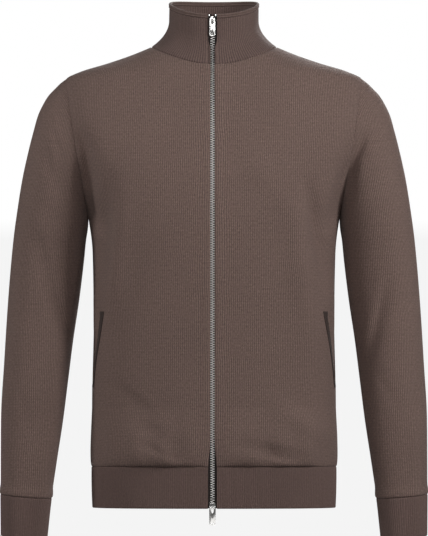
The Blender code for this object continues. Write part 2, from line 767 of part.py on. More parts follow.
def neck_loop():
    """The collar seam from the left front edge, round the back, to the right front edge."""
    pairs = []
    for side, back in ((1, False), (1, True), (-1, True), (-1, False)):
        count = BACK_COLUMNS // 2 if back else FRONT_COLUMNS
        ts = even_samples(lambda t: torso_point(*neck_angle_z(t, side, back)), count)
        part = [neck_angle_z(t, side, back) for t in ts]
        part[-1] = (90.0, NECK_POINT_Z)
        if side < 0:
            part = [(360 - a, z) for a, z in part]
        if back == (side > 0):
            part = part[::-1]
        pairs += part if not pairs else part[1:]
    return [torso_point(*p) for p in pairs]


def rim_loop():
    stops = [rim_angle_at(ZIP_X + ZIP_OPEN), 90, 180, 270, 360 + rim_angle_at(ZIP_X - ZIP_OPEN)]
    counts = [FRONT_COLUMNS, BACK_COLUMNS // 2, BACK_COLUMNS // 2, FRONT_COLUMNS]
    loop = []
    for low, high, count in zip(stops, stops[1:], counts):
        ts = even_samples(lambda t: rim_point(low + (high - low) * t), count)
        part = [rim_point(low + (high - low) * t) for t in ts]
        loop += part if not loop else part[1:]
    return loop


def collar_surface():
    base, rim = neck_loop(), rim_loop()
    cols = len(base)
    points = np.empty((COLLAR_ROWS + 1, cols, 3))
    for i in range(COLLAR_ROWS + 1):
        s = i / COLLAR_ROWS
        for j in range(cols):
            points[i, j] = rim[j] + (base[j] - rim[j]) * flare(s)
            points[i, j][2] = base[j][2] + (rim[j][2] - base[j][2]) * s
    normals = np.cross(np.gradient(points, axis=1), np.gradient(points, axis=0))
    normals /= np.linalg.norm(normals, axis=2)[:, :, None]
    for j in range(cols):
        normals[0, j] = torso_normal(base[j])
        normals[-1, j][2] = 0.0
    for j, edge_x in ((0, ZIP_X + ZIP_OPEN), (cols - 1, ZIP_X - ZIP_OPEN)):
        points[:, j, 0] = edge_x
        normals[:, j, 0] = 0.0
    normals /= np.linalg.norm(normals, axis=2)[:, :, None]
    return points, normals


def collar_thickness(column, columns):
    """Single at the zip, doubled from 30 mm on."""
    return CLOTH + (COLLAR_CLOTH - CLOTH) * near_edge_fade(min(column, columns - 1 - column) - 1, 2)


BeadRow = namedtuple("BeadRow", "height proud")
BEAD = [BeadRow(0, 0.1), BeadRow(1.0, 0.7), BeadRow(3.0, 0.8), BeadRow(5.2, 0.6), BeadRow(6.6, -0.5)]


def build_collar():
    points, normals = collar_surface()
    cols = points.shape[1]
    thick = np.array([collar_thickness(j, cols) for j in range(cols)])[None, :, None]
    outer = pull_in(points, cols=(False, False))
    wall("collar", outer, outer - normals * thick, "collar knit")
    foot, out = points[-1], normals[-1]
    lift = np.array([0, 0, SEAM_GAP / 2])
    thick = thick[0]
    doubled = (thick - CLOTH) / (COLLAR_CLOTH - CLOTH)      # the tape lies behind the ends
    rows_out = [foot + lift + np.array([0, 0, r.height]) + out * r.proud for r in BEAD]
    rows_in = [foot + lift + np.array([0, 0, r.height])
               - out * (thick + doubled * r.proud + min(r.proud, 0) * (1 - doubled)) for r in BEAD]
    wall("collar_edge", np.array(rows_out), np.array(rows_in), "collar knit")


# ---- zip ----

def centre_front(x, z):
    """The outer face of the cloth near the zip, from the hem to the collar's edge."""
    seam_z = neck_front_z(abs(x))
    if z <= seam_z:
        return torso_point(angle_at(x, z), z)
    base = torso_point(angle_at(x, seam_z), seam_z)
    rim = rim_point(rim_angle_at(x))
    s = min((z - seam_z) / (rim[2] - seam_z), 1.0)
    return np.array([x, rim[1] + (base[1] - rim[1]) * flare(s), z])


def zip_point(dx, z, depth):
    """A point dx beside the zip's middle, depth behind the cloth's outer face."""
    x = ZIP_X + dx
    above, below = centre_front(x, z + 1), centre_front(x, z - 1)
    along = unit(above - below)
    inward = np.array([0, along[2], -along[1]])
    return centre_front(x, z) + inward * depth


def zip_heights(low, high):
    """The rows of the hem, the fronts and the collar at the zip, between two heights."""
    seam_z, rim_z = neck_front_z(ZIP_OPEN), rim_point(0)[2]
    rows = centre_z(SIDE_ROWS, ARM_ROWS, SHOULDER_ROWS, hem_plane_z(0, HEM_SEAM_Z), seam_z)
    rows += list(np.linspace(seam_z, rim_z, COLLAR_ROWS + 1))[1:]
    return [low] + [z for z in rows if low + 1 < z < high - 1] + [high]


def zip_strip(name, low, high, dx_list, depth, thick, finish):
    heights = zip_heights(low, high)
    outer = np.array([[zip_point(dx, z, depth) for dx in dx_list] for z in heights])
    inner = np.array([[zip_point(dx, z, depth + thick) for dx in dx_list] for z in heights])
    return wall(name, outer, inner, finish)


UPPER_HINGE_Z = 35.1
LOWER_HINGE_Z = -661.3
NOSE_ABOVE_HINGE = 3.1
TAPE_DEPTH = CLOTH + RUNNING_GAP
CHAIN_DEPTH = TAPE_DEPTH - SEAM_GAP - CHAIN_THICK
BACK_PLATE_DEPTH = TAPE_DEPTH + TAPE_THICK + RUNNING_GAP
HINGE_OUT = SLIDER_PLATE + PULL_THICK / 2 + RUNNING_GAP     # hinge line from the cloth's face
POST_HALF = 0.6
POST_LENGTH = 3.6


def hinge_place(hinge_z):
    """The hinge line's middle; out is away from the cloth."""
    face = zip_point(0, hinge_z, 0)
    return np.array([ZIP_X, face[1] - HINGE_OUT, hinge_z])


def block(name, hinge, up, x_half, out, rise, finish, helper=True):
    """A box about the hinge: out and rise are (low, high) from the hinge line."""
    outline = [(-x_half, rise[0]), (x_half, rise[0]), (x_half, rise[1]), (-x_half, rise[1])]
    return plate(name, hinge, up, outline, out, finish, helper)


def plate(name, hinge, up, outline, out, finish, helper):
    shape = [(hinge[0] + x, hinge[2] + up * z) for x, z in outline]
    vertices, faces = prism(shape, hinge[1] - out[1], hinge[1] - out[0])
    made = add_object(name, vertices, faces, finish, smooth=False)
    if helper:
        made.hide_render = True
        made.display_type = "WIRE"
    return made


def build_slider(name, hinge_z, up):
    """Front plate, bridge for the pull, post between the tapes and back plate; up -1 is nose down."""
    hinge = hinge_place(hinge_z)
    nose, tail = NOSE_ABOVE_HINGE, NOSE_ABOVE_HINGE - SLIDER_HEIGHT
    half, narrow = SLIDER_WIDTH / 2, SLIDER_WIDTH / 2 - 1.5
    shape = [(-half, tail), (half, tail), (half, -1.5), (narrow, nose - 0.8), (narrow - 0.8, nose),
             (0.8 - narrow, nose), (-narrow, nose - 0.8), (-half, -1.5)]
    face = -(PULL_THICK / 2 + RUNNING_GAP)
    body = plate(name, hinge, up, shape, (face - SLIDER_PLATE, face), "bright metal", False)
    clear = PULL_BAR / 2 + RUNNING_GAP
    front = PULL_THICK / 2 + RUNNING_GAP
    bridge_parts = [
        block(name + "_bridge_front", hinge, up, BRIDGE_WIDTH / 2, (front, front + BRIDGE_WIRE),
              (-clear - BRIDGE_WIRE, clear + BRIDGE_WIRE), "bright metal"),
        block(name + "_bridge_upper", hinge, up, BRIDGE_WIDTH / 2, (face - 0.5, front + 0.5),
              (clear, clear + BRIDGE_WIRE), "bright metal"),
        block(name + "_bridge_lower", hinge, up, BRIDGE_WIDTH / 2, (face - 0.5, front + 0.5),
              (-clear - BRIDGE_WIRE, -clear), "bright metal"),
    ]
    back_out = -HINGE_OUT - BACK_PLATE_DEPTH
    bridge_parts.append(block(name + "_post", hinge, up, POST_HALF, (back_out - 0.5, face - 0.5),
                              (nose - POST_LENGTH, nose - 0.5), "bright metal"))
    bridge_parts.append(plate(name + "_back_plate", hinge, up, shape,
                              (back_out - SLIDER_PLATE, back_out), "bright metal", True))
    for part in bridge_parts:
        join = body.modifiers.new("join " + part.name, "BOOLEAN")
        join.operation = "UNION"
        join.object = part
    return body


def oblong(half_width, half_height, middle_z, steps):
    """A flat-sided hole with round ends, as points in X and Z."""
    straight = half_width - half_height
    points = []
    for side in (1, -1):
        for k in range(steps + 1):
            a = math.pi * k / steps - math.pi / 2
            points.append((side * (straight + math.cos(a) * half_height),
                           middle_z + side * math.sin(a) * half_height))
    return points


def build_pull(name, hinge_z):
    """A flat plate with a slot for the bridge and an oblong hole; its origin is the hinge."""
    hinge = hinge_place(hinge_z)
    top = PULL_BAR / 2
    low = top - PULL_LENGTH
    half, corner = PULL_WIDTH / 2, 1.2
    outer = [(-half + corner, top), (half - corner, top), (half, top - corner), (half, low + 2.2),
             (half - 0.9, low + 0.9), (1.0, low + 0.35), (0.0, low), (-1.0, low + 0.35),
             (-half + 0.9, low + 0.9), (-half, low + 2.2), (-half, top - corner)]
    slot_half = SLOT_WIDTH / 2
    slot_low = -top - SLOT_LENGTH
    slot = [(-slot_half, -top), (slot_half, -top), (slot_half, slot_low + 1.2),
            (slot_half - 1.0, slot_low), (1.0 - slot_half, slot_low), (-slot_half, slot_low + 1.2)]
    hole = oblong(3.05, 1.0, low + 2.9, 4)
    work = bmesh.new()
    edges = []
    for line in (outer, slot, hole):
        ring = [work.verts.new((x * MM, -PULL_THICK / 2 * MM, z * MM)) for x, z in line]
        edges += [work.edges.new((a, b)) for a, b in zip(ring, ring[1:] + ring[:1])]
    bmesh.ops.triangle_fill(work, edges=edges, use_beauty=True)
    pushed = bmesh.ops.extrude_face_region(work, geom=work.faces[:])
    moved = [v for v in pushed["geom"] if isinstance(v, bmesh.types.BMVert)]
    bmesh.ops.translate(work, verts=moved, vec=(0, PULL_THICK * MM, 0))
    bmesh.ops.recalc_face_normals(work, faces=work.faces)
    mesh = bpy.data.meshes.new(name)
    work.to_mesh(mesh)
    work.free()
    mesh.materials.append(material("bright metal"))
    made = bpy.data.objects.new(name, mesh)
    made.location = hinge * MM
    bpy.context.scene.collection.objects.link(made)
    return made


def build_zip():
    low_z = HEM_BOTTOM_Z + HEM_SLOPE * torso_front(HEM_BOTTOM_Z) + 0.6
    top_z = rim_point(0)[2] + BEAD[-1].height - 0.5
    for side in (1, -1):
        name = "zip_tape_left" if side > 0 else "zip_tape_right"
        across = sorted((side * TAPE_INNER, side * TAPE_OUTER))
        zip_strip(name, low_z, top_z, across, TAPE_DEPTH, TAPE_THICK, "zip tape")
    post_reach = POST_LENGTH - NOSE_ABOVE_HINGE + RUNNING_GAP
    zip_strip("zip_chain", LOWER_HINGE_Z + post_reach, UPPER_HINGE_Z - post_reach,
              (-CHAIN_HALF, CHAIN_HALF), CHAIN_DEPTH, CHAIN_THICK, "bright metal")
    build_slider("slider_upper", UPPER_HINGE_Z, 1)
    build_slider("slider_lower", LOWER_HINGE_Z, -1)
    build_pull("pull_upper", UPPER_HINGE_Z)
    build_pull("pull_lower", LOWER_HINGE_Z)
    for side, name in ((1, "top_stop_left"), (-1, "top_stop_right")):
        across = sorted((side * 3.8, side * 5.5))
        zip_strip(name, top_z - 3.4, top_z - 0.4, across, TAPE_DEPTH - SEAM_GAP - 1.5, 1.5,
                  "bright metal")


# ---- pocket welts: each lies on its front panel's own points ----

def build_welt(side, panel):
    tree = BVHTree.FromPolygons([v.co[:] for v in panel.data.vertices],
                                [p.vertices[:] for p in panel.data.polygons])
    heights = np.linspace(POCKET_MOUTH[-1].z, POCKET_MOUTH[0].z, 10)
    columns = 3
    grid = np.empty((len(heights), columns, 3))
    normals = np.empty_like(grid)
    for i, z in enumerate(heights):
        angle = angle_at(pocket_x(z), z)
        start = torso_point(angle, z)
        for j in range(columns):
            want = WELT_WIDTH * j / (columns - 1)
            while np.linalg.norm(torso_point(angle, z) - start) < want:
                angle += 0.05
            p = torso_point(angle, z)
            n = torso_normal(p)
            p[0] *= side
            n[0] *= side
            hit = tree.ray_cast(((p + n * RAY_START) * MM).tolist(), (-n).tolist())[0]
            grid[i, j] = np.array(hit) / MM
            normals[i, j] = n
    name = "pocket_welt_left" if side > 0 else "pocket_welt_right"
    seat = grid + normals * SEAM_GAP
    return wall(name, seat + normals * WELT_CLOTH, seat, "rib knit")


def main():
    for old in list(bpy.data.objects):
        bpy.data.objects.remove(old)
    for side in (1, -1):
        panel = build_front(side)
        build_welt(side, panel)
        build_sleeve(side)
        build_cuff(side)
    build_back()
    build_hem()
    build_collar()
    build_zip()


main()
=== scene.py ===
import math
import bmesh
import bpy
import numpy as np
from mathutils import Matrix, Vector


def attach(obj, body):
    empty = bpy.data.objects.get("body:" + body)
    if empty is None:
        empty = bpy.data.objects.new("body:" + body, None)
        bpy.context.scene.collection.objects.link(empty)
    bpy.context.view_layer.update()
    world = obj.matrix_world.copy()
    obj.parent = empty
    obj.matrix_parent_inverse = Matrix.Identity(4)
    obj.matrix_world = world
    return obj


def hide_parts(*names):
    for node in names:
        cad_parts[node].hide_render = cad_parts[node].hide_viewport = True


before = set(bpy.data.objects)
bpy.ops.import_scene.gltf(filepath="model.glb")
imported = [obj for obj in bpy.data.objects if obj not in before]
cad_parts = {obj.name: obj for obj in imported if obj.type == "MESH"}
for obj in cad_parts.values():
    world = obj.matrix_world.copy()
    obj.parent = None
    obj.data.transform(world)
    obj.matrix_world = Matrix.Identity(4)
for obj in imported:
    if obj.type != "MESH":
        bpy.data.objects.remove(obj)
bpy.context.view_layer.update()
mm = 0.001                      # the tables below are in millimetres
print("frame loaded:", len(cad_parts), "nodes")

# ---- the garment's own shape, the same as its solids ----
# Level sections of the body: half width, depth to the front and to the back, squareness.
torsoColumns = ("height", "width", "front", "back", "square")
torsoRows = [
    (-690, 175.5, 111, 103, 2.50),
    (-640, 176.0, 112, 104, 2.50),
    (-600, 177.0, 114, 104, 2.45),
    (-500, 176.5, 116, 100, 2.40),
    (-400, 174.5, 120, 99, 2.40),
    (-300, 176.0, 126, 107, 2.45),
    (-250, 182.0, 127, 113, 2.55),
    (-200, 200.0, 124, 116, 2.70),
    (-150, 219.0, 117, 115, 2.80),
    (-115, 226.0, 110, 112, 2.75),
    (-70, 223.0, 98, 104, 2.50),
    (-48, 214.0, 89, 96, 2.35),
    (-38, 194.0, 85, 91, 2.25),
    (-26, 155.0, 78, 84, 2.15),
    (-14, 120.0, 71, 76, 2.10),
    (-8, 105.0, 67, 71, 2.10),
    (-2, 91.0, 64, 67, 2.10),
    (5, 77.0, 60, 62, 2.05),
    (20, 60.0, 52, 52, 2.00),
]
# Rings of a sleeve, from the armhole down to the end of the cuff.
sleeveColumns = ("ring", "outerHeight", "innerHeight", "middle", "depth", "armhole")
sleeveRows = [
    (0, -48, -250, 0, 61, 1.00),
    (1, -55, -252, 0, 61, 0.97),
    (2, -66, -254, 0, 61, 0.92),
    (3, -82, -256, 0, 62, 0.84),
    (4, -103, -258, 0, 62, 0.73),
    (5, -128, -261, 0, 62, 0.60),
    (6, -156, -265, 1, 62, 0.45),
    (7, -186, -270, 2, 62, 0.31),
    (8, -217, -277, 3, 61, 0.18),
    (9, -248, -287, 4, 61, 0.08),
    (10, -279, -301, 5, 60, 0.02),
    (11, -310, -321, 5, 59, 0.00),
    (12, -345, -355, 4, 58, 0.00),
    (13, -380, -390, 2, 56, 0.00),
    (14, -417, -426, -2, 54, 0.00),
    (15, -455, -464, -7, 52, 0.00),
    (16, -495, -503, -13, 50, 0.00),
    (17, -535, -543, -19, 47, 0.00),
    (18, -575, -582, -26, 44, 0.00),
    (19, -612, -619, -32, 41, 0.00),
    (20, -647, -653, -37, 38.5, 0.00),
    (21, -706, -711, -44, 36.5, 0.00),
]
# Half width of the arm's outline by height, at its outer and its inner edge.
outerEdgeRows = [
    (-48, 214), (-55, 223), (-61, 229), (-72, 239.5), (-84, 247), (-101, 255), (-122, 261),
    (-151, 268.5), (-194, 278), (-237, 285), (-281, 291), (-368, 298.5), (-455, 303.5),
    (-542, 307.5), (-629, 307), (-706, 306),
]
innerEdgeRows = [
    (-250, 182.0), (-258, 182.2), (-266, 183), (-281, 185.5), (-310, 188.5), (-368, 195.5),
    (-426, 204), (-484, 211), (-542, 218), (-600, 226.5), (-658, 234.5), (-711, 240),
]
neckFrontRows = [(0, -30.5), (20, -29.0), (34, -25.8), (50, -21.0), (66, -15.0), (80, -8.7), (91, -2.0)]
garment = {
    "cloth": 2.0,               # wall of the body and sleeves
    "zipMiddle": -2.2,
    "zipOpen": 6.4,             # from the zip's middle to a front's edge
    "shoulderX": 214.0,
    "shoulderHeight": -48.0,
    "underarmHeight": -250.0,
    "chestLine": -95.0,
    "neckPoint": -2.0,
    "neckBackRise": 7.0,
    "hemSeam": -609.5,
    "hemBottom": -669.0,
    "hemSlope": 0.05,
    "seamDip": 0.9,             # how far the cloth turns in at a seam
    "seamReach": 2.6,
    "bandEnd": 0.9,             # and at the free end of a rib band
    "ribWidth": 3.1,
    "foldFront": 34.0,          # depth in front over which the armpit folds grow
}


def curveThrough(rows):
    knots, values = np.array(sorted(rows), float).T
    step = np.diff(knots)
    slope = np.diff(values) / step
    tangent = np.concatenate([[slope[0]], np.zeros(len(knots) - 2), [slope[-1]]])
    for i in range(1, len(knots) - 1):
        if slope[i - 1] * slope[i] > 0:      # a turning point stays flat, so nothing overshoots
            a = 2 * step[i] + step[i - 1]
            b = step[i] + 2 * step[i - 1]
            tangent[i] = (a + b) / (a / slope[i - 1] + b / slope[i])

    def value(at):
        at = np.clip(at, knots[0], knots[-1])
        i = np.clip(np.searchsorted(knots, at, side="right") - 1, 0, len(step) - 1)
        t = (at - knots[i]) / step[i]
        return ((1 + 2 * t) * (1 - t) ** 2 * values[i] + t * (1 - t) ** 2 * step[i] * tangent[i]
                + t * t * (3 - 2 * t) * values[i + 1] + t * t * (t - 1) * step[i] * tangent[i + 1])
    return value


def curvesOf(columns, rows):
    return {name: curveThrough([(r[0], r[i]) for r in rows]) for i, name in enumerate(columns) if i}


torso = curvesOf(torsoColumns, torsoRows)
sleeve = curvesOf(sleeveColumns, sleeveRows)
outerEdge = curveThrough(outerEdgeRows)
innerEdge = curveThrough(innerEdgeRows)
neckFront = curveThrough(neckFrontRows)


def smooth(t):
    t = np.clip(t, 0, 1)
    return t * t * (3 - 2 * t)


def unit(v):
    return v / np.linalg.norm(v, axis=-1, keepdims=True)


def joined(*parts):
    return np.stack(parts, axis=-1)


def evenly(count):
    return np.linspace(0, 1, count + 1)


def runAlong(points, axis=0):
    # length from the first point on
    steps = np.linalg.norm(np.diff(points, axis=axis), axis=-1)
    return np.insert(steps.cumsum(axis=axis), 0, 0, axis=axis)


def rounded(near):
    # a quarter circle, from 1 at an edge to 0
    return 1 - np.sqrt(1 - (1 - np.clip(near, 0, 1)) ** 2)


def flattened(normals, plane):
    return unit(normals - (normals @ plane)[:, None] * plane)


def otherSide(line):
    return line * [-1, 1] + [360, 0]


def sided(name, side):
    return name + ("_left" if side > 0 else "_right")


def placed(name, data):
    made = bpy.data.objects.new(name, data)
    bpy.context.scene.collection.objects.link(made)
    return made


def curl(share, power):
    return np.sign(share) * np.abs(share) ** power


# angle 0 is the centre front, 90 the wearer's left, 180 the centre back
def torsoPoint(angle, height):
    angle, height = np.broadcast_arrays(np.radians(angle), np.asarray(height, float))
    power = 2 / torso["square"](height)
    depth = np.where(np.cos(angle) >= 0, torso["front"](height), torso["back"](height))
    x = curl(np.sin(angle), power) * torso["width"](height)
    return joined(x, -curl(np.cos(angle), power) * depth, height)


def torsoNormal(points):
    x, y, z = np.moveaxis(points, -1, 0)

    def depthAt(height):
        return np.where(y <= 0, torso["front"](height), torso["back"](height))

    def level(height):
        n = torso["square"](height)
        return (np.abs(x) / torso["width"](height)) ** n + (np.abs(y) / depthAt(height)) ** n
    n, width, depth = torso["square"](z), torso["width"](z), depthAt(z)
    gx = n * (np.abs(x) / width) ** (n - 1) / width * np.sign(x)
    gy = n * (np.abs(y) / depth) ** (n - 1) / depth * np.sign(y)
    return unit(joined(gx, gy, level(z + 0.5) - level(z - 0.5)))


def angleAt(x, height):
    share = np.minimum(np.abs(x) / torso["width"](height), 1)
    return np.sign(x) * np.degrees(np.arcsin(share ** (torso["square"](height) / 2)))


def hemHeight(angle, sideHeight):
    height = sideHeight + 0 * np.asarray(angle, float)
    for _ in range(12):
        height = sideHeight - garment["hemSlope"] * torsoPoint(angle, height)[..., 1]
    return height


def evenShares(pointOf, shares, fine=800):
    # parameters at even lengths along a curve
    t = evenly(fine)
    run = runAlong(pointOf(t))
    return np.interp(np.asarray(shares) * run[-1], run, t)


def armholeLine(t, back):
    low, high = garment["underarmHeight"], garment["shoulderHeight"]
    height = low + (high - low) * (0.5 - 0.5 * np.cos(np.pi * t))
    lowX = torso["width"](low)
    x = garment["shoulderX"] + (height - high) / (low - high) * (lowX - garment["shoulderX"])
    angle = np.where((t <= 0) | (t >= 1), 90.0, angleAt(x, height))
    return (180 - angle if back else angle), height


def neckLine(t, side, back):
    end = torso["width"](garment["neckPoint"])
    start = 0.0 if back else garment["zipOpen"] + side * garment["zipMiddle"]
    x = start + (end - start) * np.sin(np.pi / 2 * t)
    if back:
        height = garment["neckPoint"] + garment["neckBackRise"] * (1 - (x / end) ** 2.2)
        angle = 180 - angleAt(x, height)
    else:
        height = neckFront(x)
        angle = angleAt(x, height)
    return np.where(t >= 1, 90.0, angle), np.where(t >= 1, garment["neckPoint"], height)


def alongLine(line, shares):
    t = evenShares(lambda v: torsoPoint(*line(v)), shares)
    t[0], t[-1] = shares[0], shares[-1]
    return joined(*line(t))


def blendEdges(bottom, top, left, right):
    # a grid of (angle, height) between four edges
    v = np.linspace(0, 1, len(left))[:, None, None]
    u = np.linspace(0, 1, len(bottom))[None, :, None]
    edges = (1 - v) * bottom[None] + v * top[None] + (1 - u) * left[:, None] + u * right[:, None]
    corners = ((1 - u) * (1 - v) * bottom[0] + u * (1 - v) * bottom[-1]
               + (1 - u) * v * top[0] + u * v * top[-1])
    return edges - corners


print("curves ready")

# ---- creases, each a soft line from one end to the other ----
# depth is along the cloth's normal, minus sinks; width is to where it has faded;
# lean, where given, makes one side steeper than the other.
creaseColumns = ("x0", "z0", "x1", "z1", "depth", "width", "lean")
creaseRows = {
    # the long folds beside the belly, over the hem rib, then shoulder and armpit
    "front": [
        (106, -205, 142, -455, 8.0, 36), (134, -205, 163, -350, -8.0, 22),
        (-124, -225, -150, -400, 7.0, 28), (-150, -190, -166, -350, -5.0, 20),
        (95, -520, 150, -560, 4.0, 30), (-108, -540, -42, -586, -3.0, 26),
        (40, -574, 128, -592, -3.5, 20), (-151, -480, -80, -536, -1.6, 22, 0.3),
        (-107, -571, -35, -601, -1.8, 12, -0.4), (74, -588, 126, -603, -2.2, 10, -0.4),
        (76, -572, 92, -602, -1.1, 8), (88, -574, 98, -604, -1.0, 7, 0.2),
        (101, -580, 106, -604, -0.8, 7), (-92, -566, -70, -602, -0.9, 9),
        (-62, -574, -50, -604, -0.8, 8), (132, -470, 146, -560, 1.6, 18),
        (50, -160, 96, -230, 1.8, 34), (-48, -170, -100, -238, 1.6, 34),
        (196, -130, 176, -232, -2.6, 16, 0.3), (-190, -138, -172, -236, -2.2, 16, -0.3),
    ],
    # by the armpit, then down the sleeves
    "armFront": [
        (250, -96, 214, -160, -3.0, 14), (240, -100, 210, -154, -2.2, 9, 0.3),
        (-212, -108, -190, -190, -5.0, 18), (-226, -150, -206, -240, -3.0, 16),
        (-245, -150, -222, -215, -2.5, 16), (-232, -120, -216, -168, -1.2, 10),
        (-256, -270, -208, -432, -5.0, 19, 0.3), (-250, -290, -222, -380, 1.2, 14),
        (-307, -590, -290, -640, -1.6, 12), (-285, -480, -262, -560, -1.3, 16),
        (250, -335, 217, -458, -5.0, 20, -0.3), (262, -300, 240, -330, 2.0, 22),
        (295, -465, 281, -535, -2.5, 16), (284, -505, 286, -615, 1.3, 12),
        (232, -470, 262, -520, -1.2, 15), (300, -350, 262, -392, -1.4, 16, 0.2),
    ],
    # the hidden side
    "armBack": [
        (232, -110, 192, -230, -6.0, 19), (-230, -112, -191, -234, -6.0, 19),
        (276, -300, 215, -365, -3.5, 18), (-272, -310, -214, -352, -3.5, 18),
        (282, -360, 222, -400, -3.0, 16), (-280, -372, -224, -408, -3.0, 16),
        (290, -420, 236, -440, -1.6, 14, 0.3), (-288, -428, -232, -452, -1.5, 13, -0.3),
        (296, -540, 262, -600, -1.4, 15), (-298, -520, -266, -590, -1.5, 15),
    ],
    "back": [
        (0, -120, 0, -330, -4.0, 45), (70, -420, 150, -520, -3.5, 34),
        (-64, -440, -150, -512, -3.5, 34), (90, -570, -90, -585, -3.0, 26),
        (150, -190, 120, -330, -3.0, 30), (-150, -190, -122, -318, -3.0, 30),
        (40, -455, 132, -556, -1.6, 18, 0.3), (-30, -480, -118, -566, -1.5, 20, -0.3),
        (-20, -596, 76, -602, -1.4, 10), (-128, -590, -52, -603, -1.3, 10),
        (176, -150, 164, -236, -2.4, 18), (-178, -146, -166, -230, -2.3, 18),
    ],
}


def creaseHeight(part, x, z):
    total = np.zeros(np.shape(x))
    for row in creaseRows[part]:
        c = {"lean": 0.0, **dict(zip(creaseColumns, row))}
        dx, dz = c["x1"] - c["x0"], c["z1"] - c["z0"]
        length = math.hypot(dx, dz)
        along = ((x - c["x0"]) * dx + (z - c["z0"]) * dz) / length
        off = ((x - c["x0"]) * dz - (z - c["z0"]) * dx) / length
        width = c["width"] * (1 + c["lean"] * np.sign(off))
        share = np.clip((along + c["width"]) / (length + 2 * c["width"]), 0, 1)
        total += c["depth"] * np.sin(np.pi * share) ** 1.2 * np.exp(-(2 * off / width) ** 2)
    return total


# ---- shells: a thin wall between an outer and an inner grid of points ----
# the deep fold where each sleeve hangs against the body: height, x, depth, width
armpitRows = [
    [(-90, 241, 0, 5), (-108, 226, 3, 6), (-150, 207, 8, 8), (-191, 192, 12, 10), (-225, 181, 13, 12),
     (-250, 172, 9, 12), (-275, 164, 0, 10)],
    [(-92, -208, 0, 6), (-112, -198, 3, 8), (-160, -181, 13, 11), (-203, -178, 21, 12), (-235, -174, 22, 12),
     (-256, -168, 13, 12), (-280, -161, 0, 10)],
]
armpitColumns = ("height", "x", "depth", "width")


def armpitFold(points):
    # both cloths beside an armhole go back together, and only in front
    total = 0 * points[..., 0]
    for rows in armpitRows:
        fold = curvesOf(armpitColumns, rows)
        at, depth, width = (fold[c](points[..., 2]) for c in armpitColumns[1:])
        total += np.maximum(depth, 0) * np.exp(-((points[..., 0] - at) / width) ** 2)
    return total * smooth(-points[..., 1] / garment["foldFront"])


def alongEdge(grid, axis, start):
    # distance of each point from the grid's first or last line, measured over the surface
    run = runAlong(grid, axis)
    return run if start else np.take(run, [-1], axis=axis) - run


def turnedIn(points, axis, start):
    return garment["seamDip"] * rounded(alongEdge(points, axis, start) / garment["seamReach"])


finerLines = [0.1, 0.3, 0.6]      # more lines beside each border, so that the turned edge is round


def withFinerEdges(grid, axis):
    count = grid.shape[axis]
    places = np.array(sorted(list(range(count)) + finerLines + [count - 1 - e for e in finerLines]))
    low = np.clip(places.astype(int), 0, count - 2)
    share = (places - low).reshape([-1 if k == axis else 1 for k in range(grid.ndim)])
    return np.take(grid, low, axis=axis) * (1 - share) + np.take(grid, low + 1, axis=axis) * share


def makeShell(name, outer, inner, uv, ring=False):
    rows, cols = outer.shape[:2]
    wraps = cols if ring else cols - 1
    i, j = np.meshgrid(np.arange(rows - 1), np.arange(wraps), indexing="ij")
    i, j = i.ravel(), j.ravel()
    across, down = np.arange(wraps), np.arange(rows - 1)
    top, side = 0 * across + rows - 1, 0 * down + cols - 1

    def corners(*places):
        # each place is (layer, row, column); the uv grid has one more column on a ring
        vertices = [layer * rows * cols + r * cols + c % cols for layer, r, c in places]
        return joined(*vertices), np.stack([uv[r, c] for _, r, c in places], axis=1)
    walls = [
        corners((0, i, j), (0, i, j + 1), (0, i + 1, j + 1), (0, i + 1, j)),
        corners((1, i, j), (1, i + 1, j), (1, i + 1, j + 1), (1, i, j + 1)),
        corners((0, 0 * across, across), (1, 0 * across, across),
                (1, 0 * across, across + 1), (0, 0 * across, across + 1)),
        corners((0, top, across), (0, top, across + 1), (1, top, across + 1), (1, top, across)),
    ]
    if not ring:
        walls.append(corners((0, down, 0 * down), (0, down + 1, 0 * down),
                             (1, down + 1, 0 * down), (1, down, 0 * down)))
        walls.append(corners((0, down, side), (1, down, side), (1, down + 1, side), (0, down + 1, side)))
    faces = np.concatenate([w[0] for w in walls])
    cornerUv = np.concatenate([w[1] for w in walls])
    points = np.concatenate([outer.reshape(-1, 3), inner.reshape(-1, 3)]) * mm
    a, b, c, d = (points[faces[:, k]] for k in range(4))
    volume = (a * np.cross(b, c)).sum() + (a * np.cross(c, d)).sum()
    if volume < 0:
        faces, cornerUv = faces[:, ::-1], cornerUv[:, ::-1]
    mesh = bpy.data.meshes.new(name)
    mesh.from_pydata(points.tolist(), [], faces.tolist())
    layer = mesh.uv_layers.new(name="cloth")
    layer.data.foreach_set("uv", (cornerUv.reshape(-1, 2) * mm).ravel())
    mesh.shade_smooth()
    mesh.set_sharp_from_angle(angle=math.radians(55))
    return placed(name, mesh)


# ---- fronts and back ----
panels = {
    "sideRows": 118,
    "armRows": 72,
    "shoulderRows": 34,
    "frontColumns": 88,
    "backColumns": 156,
    "overTape": 0.7,            # how much the cloth stands up over the zip's tape
    "overTapeRun": (3, 8, 4),   # it rises over the first, and falls over the third from the second
    "quietEdge": 15.0,          # creases fade out this near a seam
    "lip": 3.5,                 # how far a front's edge reaches in over the tape
    "lipReach": 24.0,           # width of cloth that moves with the edge
    "lipEnds": (60, 16),        # it grows over these lengths above the hem and below the neck
    "lipStart": 6.0,            # from this far under the hem seam and over the neck point
    "neckDip": 2.0,             # how much deeper the body turns in at the collar
    "armDip": 0.35,             # share of the turned edge left at the armhole
}
overhang = {                    # of the body over the hem rib
    "depth": 10.5,
    "height": 84.0,
    "waveShare": 0.25,
    "waves": (23, 9.1),
    "sideFrom": 125.0,          # it fades from here to the side seams
    "sideRun": 36.0,
    "sideShare": 0.75,
    "zipRun": 34.0,             # and beside the zip
    "zipShare": 0.15,
}
